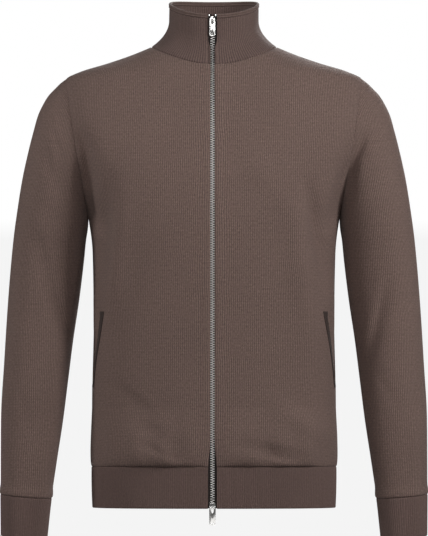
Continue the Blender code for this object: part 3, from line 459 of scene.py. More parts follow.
pocket = {
    "mouth": [(-384, 155), (-412, 161), (-440, 166.5), (-468, 170.5), (-494, 173)],
    "sink": 2.2,
    "edge": 2.2,                # the sink's steep side
    "floor": 3.0,               # how far it stays deep before it fades over its reach
    "reach": 13.0,
    "topFade": 9.0,
    "lowFade": 16.0,
    "welt": 13.0,
    "weltCloth": 1.2,
    "weltSeat": 0.3,            # how far it stands off the front
    "weltRows": 60,
    "weltColumns": 12,
}
pocketX = curveThrough(pocket["mouth"])


def sideLine(back):
    # side seam, armhole and shoulder, from the hem to the neck point
    low = float(hemHeight(90, garment["hemSeam"]))
    under, tip, neck = garment["underarmHeight"], garment["shoulderHeight"], garment["neckPoint"]
    seam = np.linspace(low, under, panels["sideRows"] + 1)[:-1]
    hole = alongLine(lambda t: armholeLine(t, back), evenly(panels["armRows"]))
    t = evenShares(lambda v: torsoPoint(90, tip + (neck - tip) * v), evenly(panels["shoulderRows"]))[1:]
    return np.concatenate([joined(90 + 0 * seam, seam), hole, joined(90 + 0 * t, tip + (neck - tip) * t)])


def centreHeights(low, high):
    under, chest = garment["underarmHeight"], garment["chestLine"]
    return np.concatenate([
        np.linspace(low, under, panels["sideRows"] + 1),
        np.linspace(under, chest, panels["armRows"] + 1)[1:],
        np.linspace(chest, high, panels["shoulderRows"] + 1)[1:],
    ])


def frontGrid(side):
    edgeX = garment["zipOpen"] + side * garment["zipMiddle"]
    heights = centreHeights(float(hemHeight(0, garment["hemSeam"])), float(neckFront(edgeX)))
    left = joined(angleAt(edgeX, heights), heights)
    shares = evenly(panels["frontColumns"])
    angle = left[0, 0] + (90 - left[0, 0]) * shares
    bottom = joined(angle, hemHeight(angle, garment["hemSeam"]))
    top = alongLine(lambda t: neckLine(t, side, False), shares)
    left[0], left[-1] = bottom[0], top[0]
    return blendEdges(bottom, top, left, sideLine(False))


def backGrid():
    right = sideLine(True)
    angle = np.linspace(270, 90, panels["backColumns"] + 1)
    bottom = joined(angle, hemHeight(angle, garment["hemSeam"]))
    half = alongLine(lambda t: neckLine(t, 1, True), evenly(panels["backColumns"] // 2))
    top = np.concatenate([otherSide(half)[::-1], half[1:]])
    return blendEdges(bottom, top, otherSide(right), right)


# girth from the centre line, over all heights of the body and each half degree
bodyLow, bodyHigh = torsoRows[0][0], torsoRows[-1][0]
girthHeights = np.linspace(bodyLow, bodyHigh, 143)
girthAngles = np.linspace(0, 90, 181)
girthFront, girthBack = (runAlong(torsoPoint(a[None], girthHeights[:, None]), 1)
                         for a in (girthAngles, 180 - girthAngles))


def girthAt(table, angle, height):
    row = (np.clip(height, bodyLow, bodyHigh) - bodyLow) / (girthHeights[1] - girthHeights[0])
    col = np.clip(angle, 0, 90) / (girthAngles[1] - girthAngles[0])
    i = np.minimum(row.astype(int), len(girthHeights) - 2)
    j = np.minimum(col.astype(int), len(girthAngles) - 2)
    r, c = row - i, col - j
    return ((1 - r) * ((1 - c) * table[i, j] + c * table[i, j + 1])
            + r * ((1 - c) * table[i + 1, j] + c * table[i + 1, j + 1]))


def lengthDown(angle):
    # length over the cloth from the hem up, as a function of height
    heights = np.linspace(bodyLow, bodyHigh, 300)
    run = runAlong(torsoPoint(angle, heights)[:, 1:])
    return lambda z: np.interp(z, heights, run)


bodyLength = lengthDown(45)


def armholePlane(side):
    run = garment["shoulderX"] - torso["width"](garment["underarmHeight"])
    rise = garment["shoulderHeight"] - garment["underarmHeight"]
    return unit(np.array([rise * side, 0, -run]))


def openingAt(height):
    # the fronts' edges come close to the teeth, and stand apart where a slider runs
    start, (low, high) = panels["lipStart"], panels["lipEnds"]
    fromEnds = smooth((height - garment["hemSeam"] + start) / low) * smooth((start - height) / high)
    return garment["zipOpen"] - panels["lip"] * fromEnds


def hangsOver(x, above):
    # share of the overhang, uneven along the hem and less towards the sides
    shape = np.sin(np.pi * np.clip(above / overhang["height"], 0, 1) ** 0.5)
    long, short = overhang["waves"]
    shape *= 1 - overhang["waveShare"] + overhang["waveShare"] * np.sin(x / long + 1.3) * np.sin(x / short)
    beyond = smooth((np.abs(x) - overhang["sideFrom"]) / overhang["sideRun"])
    return shape * (1 - overhang["sideShare"] * beyond)


def makePanel(name, grid, part, side, uv):
    grid = withFinerEdges(withFinerEdges(grid, 0), 1)
    uv = withFinerEdges(withFinerEdges(uv, 0), 1)
    points = torsoPoint(grid[..., 0], grid[..., 1])
    normals = torsoNormal(points)
    points[..., 0] *= side
    normals[..., 0] *= side
    edges = [(0, True), (0, False), (1, True), (1, False)]
    nearest = np.min([alongEdge(points, *e) for e in edges], axis=0)
    x, z = points[..., 0], points[..., 2]
    lift = creaseHeight(part, x, z) * smooth(nearest / panels["quietEdge"])
    hangs = hangsOver(x, alongEdge(points, 0, True))
    if part == "front":
        beside = alongEdge(points, 1, True)
        hangs *= overhang["zipShare"] + (1 - overhang["zipShare"]) * smooth(beside / overhang["zipRun"])
        rise, level, fall = panels["overTapeRun"]
        lift += panels["overTape"] * smooth(beside / rise) * (1 - smooth((beside - level) / fall))
    lift += overhang["depth"] * hangs
    if part == "front":
        behind = np.abs(x) - pocketX(z)
        top, low = pocket["mouth"][0][0], pocket["mouth"][-1][0]
        inMouth = smooth((top - z) / pocket["topFade"]) * smooth((z - low) / pocket["lowFade"])
        step = smooth(behind / pocket["edge"]) * (1 - smooth((behind - pocket["floor"]) / pocket["reach"]))
        lift -= pocket["sink"] * step * inMouth
    firstArmRow = panels["sideRows"] + len(finerLines)
    armRows = slice(firstArmRow, firstArmRow + panels["armRows"] + 1)
    for e in edges:
        dip = turnedIn(points, *e)
        if e[0] == 1 and (part == "back" or not e[1]):
            dip[armRows] *= panels["armDip"]
        lift -= dip
    lift -= panels["neckDip"] * turnedIn(points, 0, False) * (np.abs(x) < neckFrontRows[-1][0])
    for column, at in ((-1, side), (0, -1)) if part == "back" else ((-1, side),):
        normals[armRows, column] = flattened(normals[armRows, column], armholePlane(at))
    if part == "front":
        normals[:, 0, 0] = 0
    normals = unit(normals)
    outer = points + normals * lift[..., None]
    outer[..., 1] += armpitFold(points)
    if part == "front":
        lip = garment["zipOpen"] - openingAt(outer[..., 2])
        outer[..., 0] -= side * lip * (1 - smooth(beside / panels["lipReach"]))
    return makeShell(name, outer, outer - normals * garment["cloth"], uv)


def makeFront(side):
    grid = frontGrid(side)
    u = girthAt(girthFront, grid[..., 0], grid[..., 1]) * side
    uv = joined(u, bodyLength(grid[..., 1]))
    return makePanel(sided("knitted_front", side), grid, "front", side, uv)


def makeBack():
    grid = backGrid()
    a = 180 - grid[..., 0]
    u = girthAt(girthBack, np.abs(a), grid[..., 1]) * np.sign(a)
    return makePanel("knitted_back", grid, "back", 1, joined(u, bodyLength(grid[..., 1])))


# ---- sleeves and cuffs ----
arms = {
    "rows": 168,
    "square": 2.15,
    "lastRing": 20,
    "cuffRibs": 72,
    "ribColumns": 6,
    "ribRelief": 0.55,
    "cuffRows": 18,
    "cuffLength": 59.0,
    "creaseFade": (30, 22),     # creases fade this near the armhole and the cuff
    "hang": 1.6,                # how far the sleeve hangs over its cuff
    "hangReach": 15.0,
}


def armholeLoop(side, count):
    # underarm, up the front to the shoulder tip, down the back
    shares = evenly(count // 2)
    front = alongLine(lambda t: armholeLine(t, False), shares)
    back = alongLine(lambda t: armholeLine(t, True), shares)[-2:0:-1]
    loop = torsoPoint(*np.concatenate([front, back]).T)
    loop[[0, count // 2], 1] = 0
    return loop * [side, 1, 1]


def ringFrame(ring, side):
    # middle, half height, and the direction from the inner to the outer edge
    high, low = sleeve["outerHeight"](ring), sleeve["innerHeight"](ring)
    outer = joined(outerEdge(high) * side, 0 * high, high)
    inner = joined(innerEdge(low) * side, 0 * low, low)
    size = np.linalg.norm(outer - inner, axis=-1)
    return (outer + inner) / 2, size / 2, unit(outer - inner)


def sleeveRings(rings, count, side, swell=0.0):
    middle, half, across = ringFrame(rings, side)
    turn = 2 * np.pi * np.arange(count) / count
    power = 2 / arms["square"]
    depth = sleeve["depth"](rings)[:, None]
    up = -curl(np.cos(turn), power)[None] * half[:, None]
    forward = curl(np.sin(turn), power)[None] * depth
    keep = sleeve["armhole"](rings)[:, None]
    if np.any(keep > 0):
        firstMiddle, firstHalf, firstAcross = ringFrame(np.array([0.0]), side)
        local = armholeLoop(side, count) - firstMiddle[0]
        up = keep * (local @ firstAcross[0])[None] * half[:, None] / firstHalf[0] + (1 - keep) * up
        forward = keep * -local[None, :, 1] + (1 - keep) * forward
    grow = 1 + swell / half[:, None]
    back = sleeve["middle"](rings)[:, None] - forward * grow
    points = middle[:, None] + across[:, None] * (up * grow)[..., None]
    points[..., 1] += back
    return points


def ringNormals(points):
    along = np.gradient(points, axis=0)
    around = np.roll(points, -1, axis=1) - np.roll(points, 1, axis=1)
    normals = np.cross(along, around)
    away = points - points.mean(axis=1, keepdims=True)
    return unit(normals * np.sign((normals * away).sum(axis=-1, keepdims=True)))


def sleeveUv(points, side):
    # wales run down from the outer edge line, so u is the girth from that edge at one height
    z = np.clip(points[..., 2], -706, -48)
    width = outerEdge(z) - innerEdge(np.minimum(z, garment["underarmHeight"]))
    halfDepth = curveThrough([(r[1], r[4]) for r in sleeveRows])(z)
    theta = np.arccos(np.clip(1 - 2 * (outerEdge(z) - points[..., 0] * side) / width, -1, 1))
    steps = (np.arange(16) + 0.5) / 16
    t = theta[..., None] * steps
    speed = np.sqrt((width[..., None] / 2 * np.sin(t)) ** 2 + (halfDepth[..., None] * np.cos(t)) ** 2)
    u = speed.mean(axis=-1) * theta
    heights = np.linspace(-712, -48, 300)
    run = np.insert(np.hypot(np.diff(heights), np.diff(outerEdge(heights))).cumsum(), 0, 0)
    return u, np.interp(points[..., 2], heights, run)


def ringUv(points, side):
    u, v = sleeveUv(points, side)
    count = points.shape[1]
    sign = np.where(np.arange(count + 1) <= count // 2, 1, -1)      # front, then back
    u, v = (np.concatenate([w, w[:, :1]], axis=1) for w in (u, v))
    return joined(u * sign, v)


def makeSleeve(side):
    count = 2 * panels["armRows"]
    last = arms["lastRing"]
    rings = np.linspace(0, last, arms["rows"] + 1)
    rings = np.sort(np.concatenate([rings, [0.05, 0.15, 0.3, last - 0.07, last - 0.05, last - 0.025]]))
    points = sleeveRings(rings, count, side)
    normals = ringNormals(points)
    normals[0] = flattened(normals[0], armholePlane(side))
    axis = ringFrame(rings[-1:], side)[2][0]
    normals[-1] = flattened(normals[-1], np.array([axis[2], 0, -axis[0]]))
    facing = smooth(np.abs(normals[..., 1]) / 0.5)
    x, z = points[..., 0], points[..., 2]
    lift = np.where(normals[..., 1] < 0, creaseHeight("armFront", x, z), creaseHeight("armBack", x, z))
    fromTop, fromCuff = alongEdge(points, 0, True), alongEdge(points, 0, False)
    topFade, cuffFade = arms["creaseFade"]
    lift *= facing * smooth(fromTop / topFade) * smooth(fromCuff / cuffFade)
    lift += arms["hang"] * np.sin(np.pi * np.clip(fromCuff / arms["hangReach"], 0, 1) ** 0.6)
    lift -= turnedIn(points, 0, True) * panels["armDip"] + turnedIn(points, 0, False)
    outer = points + normals * lift[..., None]
    outer[..., 1] += armpitFold(points)
    inner = outer - normals * garment["cloth"]
    return makeShell(sided("knitted_sleeve", side), outer, inner, ringUv(points, side), ring=True)


def ribWave(columns):
    # a rounded rib and the narrow furrow between two ribs
    phase = np.arange(columns) / arms["ribColumns"]
    return np.abs(np.cos(np.pi * phase)) ** 0.7


def bandEdge(rows, length):
    # how far the wall lies in at the seam and at the rounded free end
    seam, end = garment["seamDip"], garment["bandEnd"]
    shares = 0.5 - 0.5 * np.cos(np.pi * evenly(rows - 1))
    place = shares * length
    dip = seam * rounded(place / garment["seamReach"]) + end * rounded((length - place) / (2 * end))
    return shares, dip, garment["cloth"] - end * (dip > 0.5)


def bandUv(columns, places):
    u = np.arange(columns) / arms["ribColumns"] * garment["ribWidth"]
    return joined(*np.broadcast_arrays(u[None], places[:, None]))


def makeCuff(side):
    columns = arms["cuffRibs"] * arms["ribColumns"]
    length = arms["cuffLength"]
    shares, dip, wall = bandEdge(arms["cuffRows"], length)
    rings = arms["lastRing"] + shares
    swell = ribWave(columns)[None] * arms["ribRelief"] - dip[:, None]
    outer = sleeveRings(rings, columns, side, swell)
    inner = sleeveRings(rings, columns, side, 0 * swell - wall[:, None])
    uv = bandUv(columns + 1, shares * length)
    return makeShell(sided("ribbed_cuff", side), outer, inner, uv, ring=True)


# ---- hem ----
hem = {
    "ribs": 300,
    "relief": 0.55,
    "rows": 18,
    "waves": [(0.35, 171, 0), (0.3, 67, 1)],      # depth, columns and start
}


def hemLine(sideHeight, count):
    # from the left front edge round the back to the right front edge
    edge = garment["zipMiddle"] + garment["zipOpen"]
    first = float(angleAt(edge, sideHeight))
    last = 360 + float(angleAt(garment["zipMiddle"] - garment["zipOpen"], sideHeight))

    def place(t):
        angle = first + (last - first) * np.asarray(t)
        return torsoPoint(angle, hemHeight(angle, sideHeight))
    return place(evenShares(place, evenly(count), fine=2400))


def makeHem():
    count = hem["ribs"] * arms["ribColumns"]
    length = garment["hemSeam"] - garment["hemBottom"]
    top, low = hemLine(garment["hemSeam"], count), hemLine(garment["hemBottom"], count)
    shares, dip, wall = bandEdge(hem["rows"], length)
    middle = top[None] + (low - top)[None] * shares[:, None, None]
    normals = torsoNormal(middle)
    normals[..., 2] = 0
    normals[:, [0, -1], 0] = 0
    normals = unit(normals)
    soft = sum(deep * np.sin(np.arange(count + 1) / wide + start) for deep, wide, start in hem["waves"])
    lift = ribWave(count + 1)[None] * hem["relief"] - dip[:, None]
    lift = lift + soft[None] * np.sin(np.pi * shares)[:, None]
    outer = middle + normals * lift[..., None]
    inner = middle - normals * wall[:, None, None]
    return makeShell("ribbed_hem", outer, inner, bandUv(count + 1, shares * length))


# ---- collar ----
collar = {
    "cloth": 2.8,
    "halfWidth": 64.8,          # of the rim
    "rimFront": -64.0,
    "rimBack": 60.0,
    "square": 2.15,
    "sideHeight": 55.5,
    "frontDrop": 20.0,
    "backRise": 6.0,
    "flare": 0.66,              # share of the height over which the foot spreads
    "frontColumns": 60,
    "backColumns": 60,
    "rows": 44,
    "topDip": 2.6,              # how much more it turns in under the rolled edge
    "zipDip": 0.5,
    "singleColumns": 6,         # beside the zip it is one cloth thick
    "waves": [(0.7, 3, 0.4), (0.5, 7, 2), (0.3, 13, 0)],      # depth, count round the neck, start
    "waveShare": 0.8,
    "knitSize": (430.0, 86.0),  # girth and height that the knit is laid over
}
# the knitted edge: two small rolls one above the other
edgeRows = [
    (0.0, -0.9), (0.4, -0.1), (0.9, 0.5), (1.5, 0.8), (2.2, 0.75), (2.8, 0.35), (3.2, -0.05), (3.6, 0.3),
    (4.2, 0.75), (5.0, 0.85), (5.7, 0.55), (6.2, 0.1), (6.6, -0.6),
]


def rimPoint(angle):
    a = np.radians(angle)
    power = 2 / collar["square"]
    depth = np.where(np.cos(a) >= 0, -collar["rimFront"], collar["rimBack"])
    x = curl(np.sin(a), power) * collar["halfWidth"]
    y = -curl(np.cos(a), power) * depth
    rise, drop = collar["backRise"] / collar["rimBack"], collar["frontDrop"] / -collar["rimFront"]
    bend = (rise - drop) / (collar["rimBack"] - collar["rimFront"])
    tilt = rise - bend * collar["rimBack"]
    return joined(x, y, collar["sideHeight"] + tilt * y + bend * y * y)


def rimAngleAt(x):
    share = np.abs(x) / collar["halfWidth"]
    return np.sign(x) * np.degrees(np.arcsin(share ** (collar["square"] / 2)))


def flare(share):
    return np.maximum(1 - share / collar["flare"], 0) ** 2


def neckLoop():
    # from the left front edge round the back to the right front edge
    pieces = []
    for side, back in ((1, False), (1, True), (-1, True), (-1, False)):
        columns = collar["backColumns"] if back else collar["frontColumns"]
        part = alongLine(lambda t: neckLine(t, side, back), evenly(columns))
        if side < 0:
            part = otherSide(part)
        if back == (side > 0):
            part = part[::-1]
        pieces.append(part if not pieces else part[1:])
    return torsoPoint(*np.concatenate(pieces).T)


def rimLoop():
    edge = garment["zipMiddle"] + garment["zipOpen"]
    last = 360 + float(rimAngleAt(garment["zipMiddle"] - garment["zipOpen"]))
    stops = [float(rimAngleAt(edge)), 90, 180, 270, last]
    counts = [collar["frontColumns"], collar["backColumns"], collar["backColumns"], collar["frontColumns"]]
    pieces = []
    for low, high, count in zip(stops, stops[1:], counts):
        t = evenShares(lambda v: rimPoint(low + (high - low) * v), evenly(count))
        part = rimPoint(low + (high - low) * t)
        pieces.append(part if not pieces else part[1:])
    return np.concatenate(pieces)


def collarSurface(rows):
    base, rim = neckLoop(), rimLoop()
    share = np.linspace(0, 1, rows)[:, None]
    share = np.sort(np.concatenate([share, [[0.008], [0.02], [0.034], [0.97], [0.985], [0.994]]]), axis=0)
    points = rim[None] + (base - rim)[None] * flare(share)[..., None]
    points[..., 2] = base[:, 2] + (rim[:, 2] - base[:, 2]) * share
    normals = unit(np.cross(np.gradient(points, axis=1), np.gradient(points, axis=0)))
    normals[0] = torsoNormal(base)
    normals[-1, :, 2] = 0
    for column, edge in ((0, 1), (-1, -1)):
        points[:, column, 0] = garment["zipMiddle"] + edge * openingAt(points[:, column, 2])
        normals[:, column, 0] = 0
    return points, unit(normals), share


def makeCollar():
    points, normals, share = collarSurface(collar["rows"])
    columns = points.shape[1]
    fromZip = np.minimum(np.arange(columns), np.arange(columns)[::-1]) / collar["singleColumns"]
    thick = garment["cloth"] + (collar["cloth"] - garment["cloth"]) * smooth((fromZip - 1) / 2)
    lift = -collar["topDip"] * turnedIn(points, 0, True) - turnedIn(points, 0, False)
    arc = np.arange(columns) / columns * 2 * np.pi
    soft = sum(deep * np.sin(count * arc + start) for deep, count, start in collar["waves"])
    lift = lift + soft * np.sin(np.pi * share) * collar["waveShare"]
    lift -= turnedIn(points, 1, True) * collar["zipDip"] + turnedIn(points, 1, False) * collar["zipDip"]
    outer = points + normals * lift[..., None]
    inner = points - normals * thick[None, :, None]
    girth, height = collar["knitSize"]
    u = np.linspace(0, girth, columns)
    uv = joined(*np.broadcast_arrays(u[None], share * height))
    made = makeShell("knitted_collar", outer, inner, uv)
    foot, out = points[-1], normals[-1]
    table = np.array(edgeRows)
    rows = foot[None] + (table[:, :1] * [0, 0, 1])[:, None]
    doubled = (thick - garment["cloth"]) / (collar["cloth"] - garment["cloth"])
    proud = table[:, 1][:, None]
    back = thick + doubled * proud + np.minimum(proud, 0) * (1 - doubled)
    edgeUv = joined(*np.broadcast_arrays(u[None], table[:, :1]))
    outer, inner = rows + out * proud[..., None], rows - out * back[..., None]
    return made, makeShell("rolled_collar_edge", outer, inner, edgeUv)


# ---- pocket mouths ----
def makeWelt(side, panel):
    # it lies in the sunk mouth, on the front's own surface
    heights = np.linspace(pocket["mouth"][-1][0], pocket["mouth"][0][0], pocket["weltRows"])
    columns = pocket["weltColumns"]
    fromZip = angleAt(pocketX(heights), heights)
    start = torsoPoint(fromZip, heights)
    grid = np.empty((len(heights), columns, 3))
    normals = np.empty_like(grid)
    for j in range(columns):
        want = pocket["welt"] * j / (columns - 1)
        angle = fromZip.copy()
        # small steps round the body, until the strip's width is reached
        for _ in range(400):
            short = np.linalg.norm(torsoPoint(angle, heights) - start, axis=-1) < want
            angle = angle + 0.05 * short
        grid[:, j] = torsoPoint(angle, heights)
        normals[:, j] = torsoNormal(grid[:, j])
    grid[..., 0] *= side
    normals[..., 0] *= side
    for place in np.ndindex(grid.shape[:2]):
        n = Vector(normals[place])
        hit = panel.ray_cast(Vector((grid[place] + normals[place] * 30) * mm), -n)
        grid[place] = np.array(hit[1]) / mm
    seat = grid + normals * pocket["weltSeat"]
    across = np.linspace(-1, 1, columns)
    crown = pocket["weltCloth"] * (0.35 + 0.65 * np.sqrt(1 - across ** 2 * 0.9))
    run = np.linspace(-1, 1, len(heights))
    crown = crown[None] * np.sqrt(1 - 0.8 * run[:, None] ** 12)
    u, v = np.meshgrid(np.linspace(0, pocket["welt"], columns), heights - heights[0])
    return makeShell(sided("pocket_mouth", side), seat + normals * crown[..., None], seat, joined(u, v))


# ---- the zip ----
zipSizes = {
    "tapeThick": 1.0,
    "tapeInner": 1.0,           # from the zip's middle to the tape's edge
    "tapeOuter": 13.0,
    "behind": 2.35,             # from the cloth's outer face to the tape
    "cordWidth": 1.6,           # of the tape's edge, that the teeth grip
    "cordHeight": 0.55,
    "upperHinge": 35.1,
    "lowerHinge": -661.3,
    "toothPitch": 3.4,
    "toothReach": 1.9,
    "toothHeight": 1.2,
    "toothThick": 1.9,
    "toothShift": 0.95,         # from the zip's middle to a tooth's own
    "toothRise": 0.62,          # of its middle over the tape
    "toothFoot": 0.55,
    "toothHead": 0.9,
    "toothEdge": 0.16,
    "chainEnd": 1.6,            # from a hinge to where the teeth begin
}


def centreFront(x, height):
    # the cloth's outer face beside the zip, from the hem to the collar's edge
    seam = neckFront(np.abs(x))
    body = torsoPoint(angleAt(x, np.minimum(height, seam)), np.minimum(height, seam))
    rim = rimPoint(rimAngleAt(x))
    share = np.clip((height - seam) / (rim[..., 2] - seam), 0, 1)
    y = np.where(height > seam, rim[..., 1] + (body[..., 1] - rim[..., 1]) * flare(share), body[..., 1])
    return joined(*np.broadcast_arrays(x, y, height))


def zipPoint(dx, height, depth):
    x = garment["zipMiddle"] + np.asarray(dx, float)
    dx, height = np.broadcast_arrays(x, np.asarray(height, float))
    along = unit(centreFront(dx, height + 1) - centreFront(dx, height - 1))
    inward = joined(0 * dx, along[..., 2], -along[..., 1])
    return centreFront(dx, height) + inward * np.asarray(depth)[..., None]


def zipEnds():
    low = garment["hemBottom"] + garment["hemSlope"] * float(torso["front"](garment["hemBottom"])) + 0.6
    return low, float(rimPoint(0.0)[2]) + edgeRows[-1][0] - 0.5


def makeTape(side):
    low, high = zipEnds()
    heights = np.linspace(low, high, 240)
    inner, outer = zipSizes["tapeInner"], zipSizes["tapeOuter"]
    cord, half = zipSizes["cordWidth"], zipSizes["cordWidth"] / 2
    places = np.concatenate([np.linspace(inner, inner + cord, 6), np.linspace(inner + cord + 0.6, outer, 9)])
    proud = zipSizes["cordHeight"] * np.sqrt(np.clip(1 - ((places - inner - half) / half) ** 2, 0, 1))
    behind = zipSizes["behind"]
    at = places[None] * side, heights[:, None]
    front = zipPoint(*at, (behind - proud)[None])
    back = zipPoint(*at, behind + zipSizes["tapeThick"] + 0 * proud[None])
    uv = joined(*np.broadcast_arrays(places[None] * side, heights[:, None] - low))
    return makeShell(sided("woven_tape", side), front, back, uv)


def activate(made):
    bpy.ops.object.select_all(action="DESELECT")
    made.select_set(True)
    bpy.context.view_layer.objects.active = made


def applyModifiers(made):
    activate(made)
    for modifier in list(made.modifiers):
        bpy.ops.object.modifier_apply(modifier=modifier.name)


def selectFaces(made, test):
    # leaves the object in edit mode with only the matching faces selected
    activate(made)
    bpy.ops.object.mode_set(mode="EDIT")
    bpy.ops.mesh.select_mode(type="FACE")
    work = bmesh.from_edit_mesh(made.data)
    for face in work.faces:
        face.select_set(bool(test(face)))
    bmesh.update_edit_mesh(made.data)


def makeOneTooth():
    # a head that meets its neighbours and a foot that grips the tape's cord
    bpy.ops.mesh.primitive_cube_add(size=1, location=(0.15 * mm, 0, 0))
    tooth = bpy.context.active_object
    tooth.name = "one_tooth"
    tooth.scale = (zipSizes["toothReach"] * mm, zipSizes["toothThick"] * mm, zipSizes["toothHeight"] * mm)
    bpy.ops.object.transform_apply(location=True, rotation=False, scale=True)
    selectFaces(tooth, lambda face: face.normal.x < -0.9)
    bpy.ops.transform.resize(value=(1, 0.8, 0.62))
    bpy.ops.mesh.extrude_region_move(TRANSFORM_OT_translate={"value": (-zipSizes["toothFoot"] * mm, 0, 0)})
    bpy.ops.transform.resize(value=(1, 0.8, 1.15))
    bpy.ops.object.mode_set(mode="OBJECT")
    selectFaces(tooth, lambda face: face.normal.x > 0.9)
    bpy.ops.mesh.extrude_region_move(TRANSFORM_OT_translate={"value": (zipSizes["toothHead"] * mm, 0, 0)})
    bpy.ops.transform.resize(value=(1, 0.86, 0.7))
    bpy.ops.object.mode_set(mode="OBJECT")
    bevel = tooth.modifiers.new("soft edges", "BEVEL")
    bevel.width = zipSizes["toothEdge"] * mm
    bevel.segments = 1
    applyModifiers(tooth)
    return tooth


def makeTeeth():
    tooth = makeOneTooth()
    shape = np.array([v.co[:] for v in tooth.data.vertices]) / mm
    faces = [list(p.vertices) for p in tooth.data.polygons]
    # a tooth's faces come in no fixed order, so each starts at its first point and all are sorted
    faces = sorted(f[f.index(min(f)):] + f[:f.index(min(f))] for f in faces)
    mirrored = [f[::-1] for f in faces]
    bpy.data.objects.remove(tooth)
    low, high = zipSizes["lowerHinge"] + zipSizes["chainEnd"], zipSizes["upperHinge"] - zipSizes["chainEnd"]
    pitch = zipSizes["toothPitch"]
    points, allFaces = [], []
    for side in (1, -1):
        first = low + (0.5 if side > 0 else 1.0) * pitch
        for height in np.arange(first, high - 0.4 * pitch, pitch):
            depth = zipSizes["behind"] - zipSizes["toothRise"] - shape[:, 1]
            middle = zipPoint(0.0, height, 0.0)
            along = unit(zipPoint(0.0, height + 1, 0.0) - zipPoint(0.0, height - 1, 0.0))
            inward = np.array([0, along[2], -along[1]])
            away = side * (shape[:, 0] + zipSizes["toothShift"])
            start = len(shape) * len(points)
            points.append(middle + np.outer(away, [1, 0, 0]) + np.outer(depth, inward)
                          + np.outer(shape[:, 2], along))
            allFaces += [[start + k for k in f] for f in (mirrored if side > 0 else faces)]
    mesh = bpy.data.meshes.new("zip_teeth")
    mesh.from_pydata((np.concatenate(points) * mm).tolist(), [], allFaces)
    return placed("zip_teeth", mesh)


def finishedMetal(node, name, width=0.22):
    # a copy of a hard solid with its edges broken, as cast and polished metal has them
    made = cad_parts[node].copy()
    made.data = made.data.copy()
    made.parent = None
    made.matrix_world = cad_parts[node].matrix_world
    made.name = made.data.name = name
    for key in list(made.keys()):
        del made[key]
    bpy.context.scene.collection.objects.link(made)
    activate(made)
    bpy.ops.object.mode_set(mode="EDIT")
    bpy.ops.mesh.select_all(action="SELECT")
    bpy.ops.mesh.remove_doubles(threshold=0.00001)
    bpy.ops.mesh.customdata_custom_splitnormals_clear()
    bpy.ops.mesh.dissolve_limited(angle_limit=math.radians(2))
    bpy.ops.object.mode_set(mode="OBJECT")
    bevel = made.modifiers.new("broken edges", "BEVEL")
    bevel.width = width * mm
    bevel.segments = 2
    bevel.limit_method = "ANGLE"
    bevel.angle_limit = math.radians(35)
    applyModifiers(made)
    bpy.ops.object.shade_smooth_by_angle(angle=math.radians(35))
    return made


print("shapes ready")

# ---- finishes ----
# colours are linear; the furrow between two wales is painted darker, the ground colour times its shade, as
# painted shade in the knit's hollows
knits = {
    "body": {"colour": (0.176, 0.118, 0.101), "shade": 0.30, "wale": 2.7, "course": 2.3, "bump": 0.7,
             "fleck": 1.1, "wander": 1.8},
    "rib": {"colour": (0.166, 0.109, 0.096), "shade": 0.40, "wale": 1.55, "course": 1.9, "bump": 0.3,
            "fleck": 0.6, "wander": 0.0},
    "collar": {"colour": (0.152, 0.101, 0.089), "shade": 0.25, "wale": 3.0, "course": 2.1, "bump": 0.6,
               "fleck": 0.7, "wander": 0.4},
    "edge": {"colour": (0.160, 0.108, 0.094), "shade": 0.5, "wale": 2.2, "course": 1.8, "bump": 0.3,
             "fleck": 0.5, "wander": 0.0},
    # the pocket mouth's colour, far darker than the rib, is painted shade for the recess behind the front's
    # edge
    "mouth": {"colour": (0.060, 0.040, 0.035), "shade": 0.40, "wale": 1.55, "course": 1.9, "bump": 0.3,
              "fleck": 0.5, "wander": 0.0},
}


class Graph:
    # the node tree of a material or world, with short calls for what the finishes here use
    def __init__(self, owner):
        owner.use_nodes = True
        self.owner = owner
        self.tree = owner.node_tree
        self.shader = self.tree.nodes.get("Principled BSDF")

    def node(self, kind, **settings):
        made = self.tree.nodes.new(kind)
        for key, value in settings.items():
            setattr(made, key, value)
        return made

    def feed(self, socket, value):
        if isinstance(value, bpy.types.NodeSocket):
            self.tree.links.new(value, socket)
        else:
            socket.default_value = value

    def calc(self, operation, *values):
        made = self.node("ShaderNodeMath", operation=operation)
        for socket, value in zip(made.inputs, values):
            self.feed(socket, value)
        return made.outputs[0]

    def times(self, a, b):
        return self.calc("MULTIPLY", a, b)

    def line(self, start, value, slope):
        return self.calc("ADD", start, self.times(value, slope))

    def place(self):
        return self.node("ShaderNodeTexCoord").outputs["Object"]

    def cloth(self):
        # the cloth's own uv, whole and split, in metres
        uv = self.node("ShaderNodeUVMap", uv_map="cloth").outputs["UV"]
        split = self.node("ShaderNodeSeparateXYZ")
        self.feed(split.inputs[0], uv)
        return uv, split.outputs["X"], split.outputs["Y"]

    def surface(self, values):
        for name, value in values.items():
            self.feed(self.shader.inputs[name], value)

    def mix(self, share, a, b, blend="MIX"):
        made = self.node("ShaderNodeMix", data_type="RGBA", blend_type=blend)
        self.feed(made.inputs["Factor"], share)
        self.feed(made.inputs["A"], a)
        self.feed(made.inputs["B"], b)
        return made.outputs["Result"]

    def noise(self, vector, scale, detail=2.0, rough=0.5):
        made = self.node("ShaderNodeTexNoise")
        for name, value in (("Vector", vector), ("Scale", scale), ("Detail", detail), ("Roughness", rough)):
            self.feed(made.inputs[name], value)
        return made.outputs["Fac"]

    def stretched(self, vector, scale):
        made = self.node("ShaderNodeMapping")
        self.feed(made.inputs["Vector"], vector)
        self.feed(made.inputs["Scale"], scale)
        return made.outputs["Vector"]

    def bump(self, height, distance, strength=1.0):
        made = self.node("ShaderNodeBump")
        for name, value in (("Distance", distance * mm), ("Strength", strength), ("Height", height)):
            self.feed(made.inputs[name], value)
        self.surface({"Normal": made.outputs["Normal"]})


def tint(colour, factor=1.0):
    return tuple(c * factor for c in colour) + (1.0,)


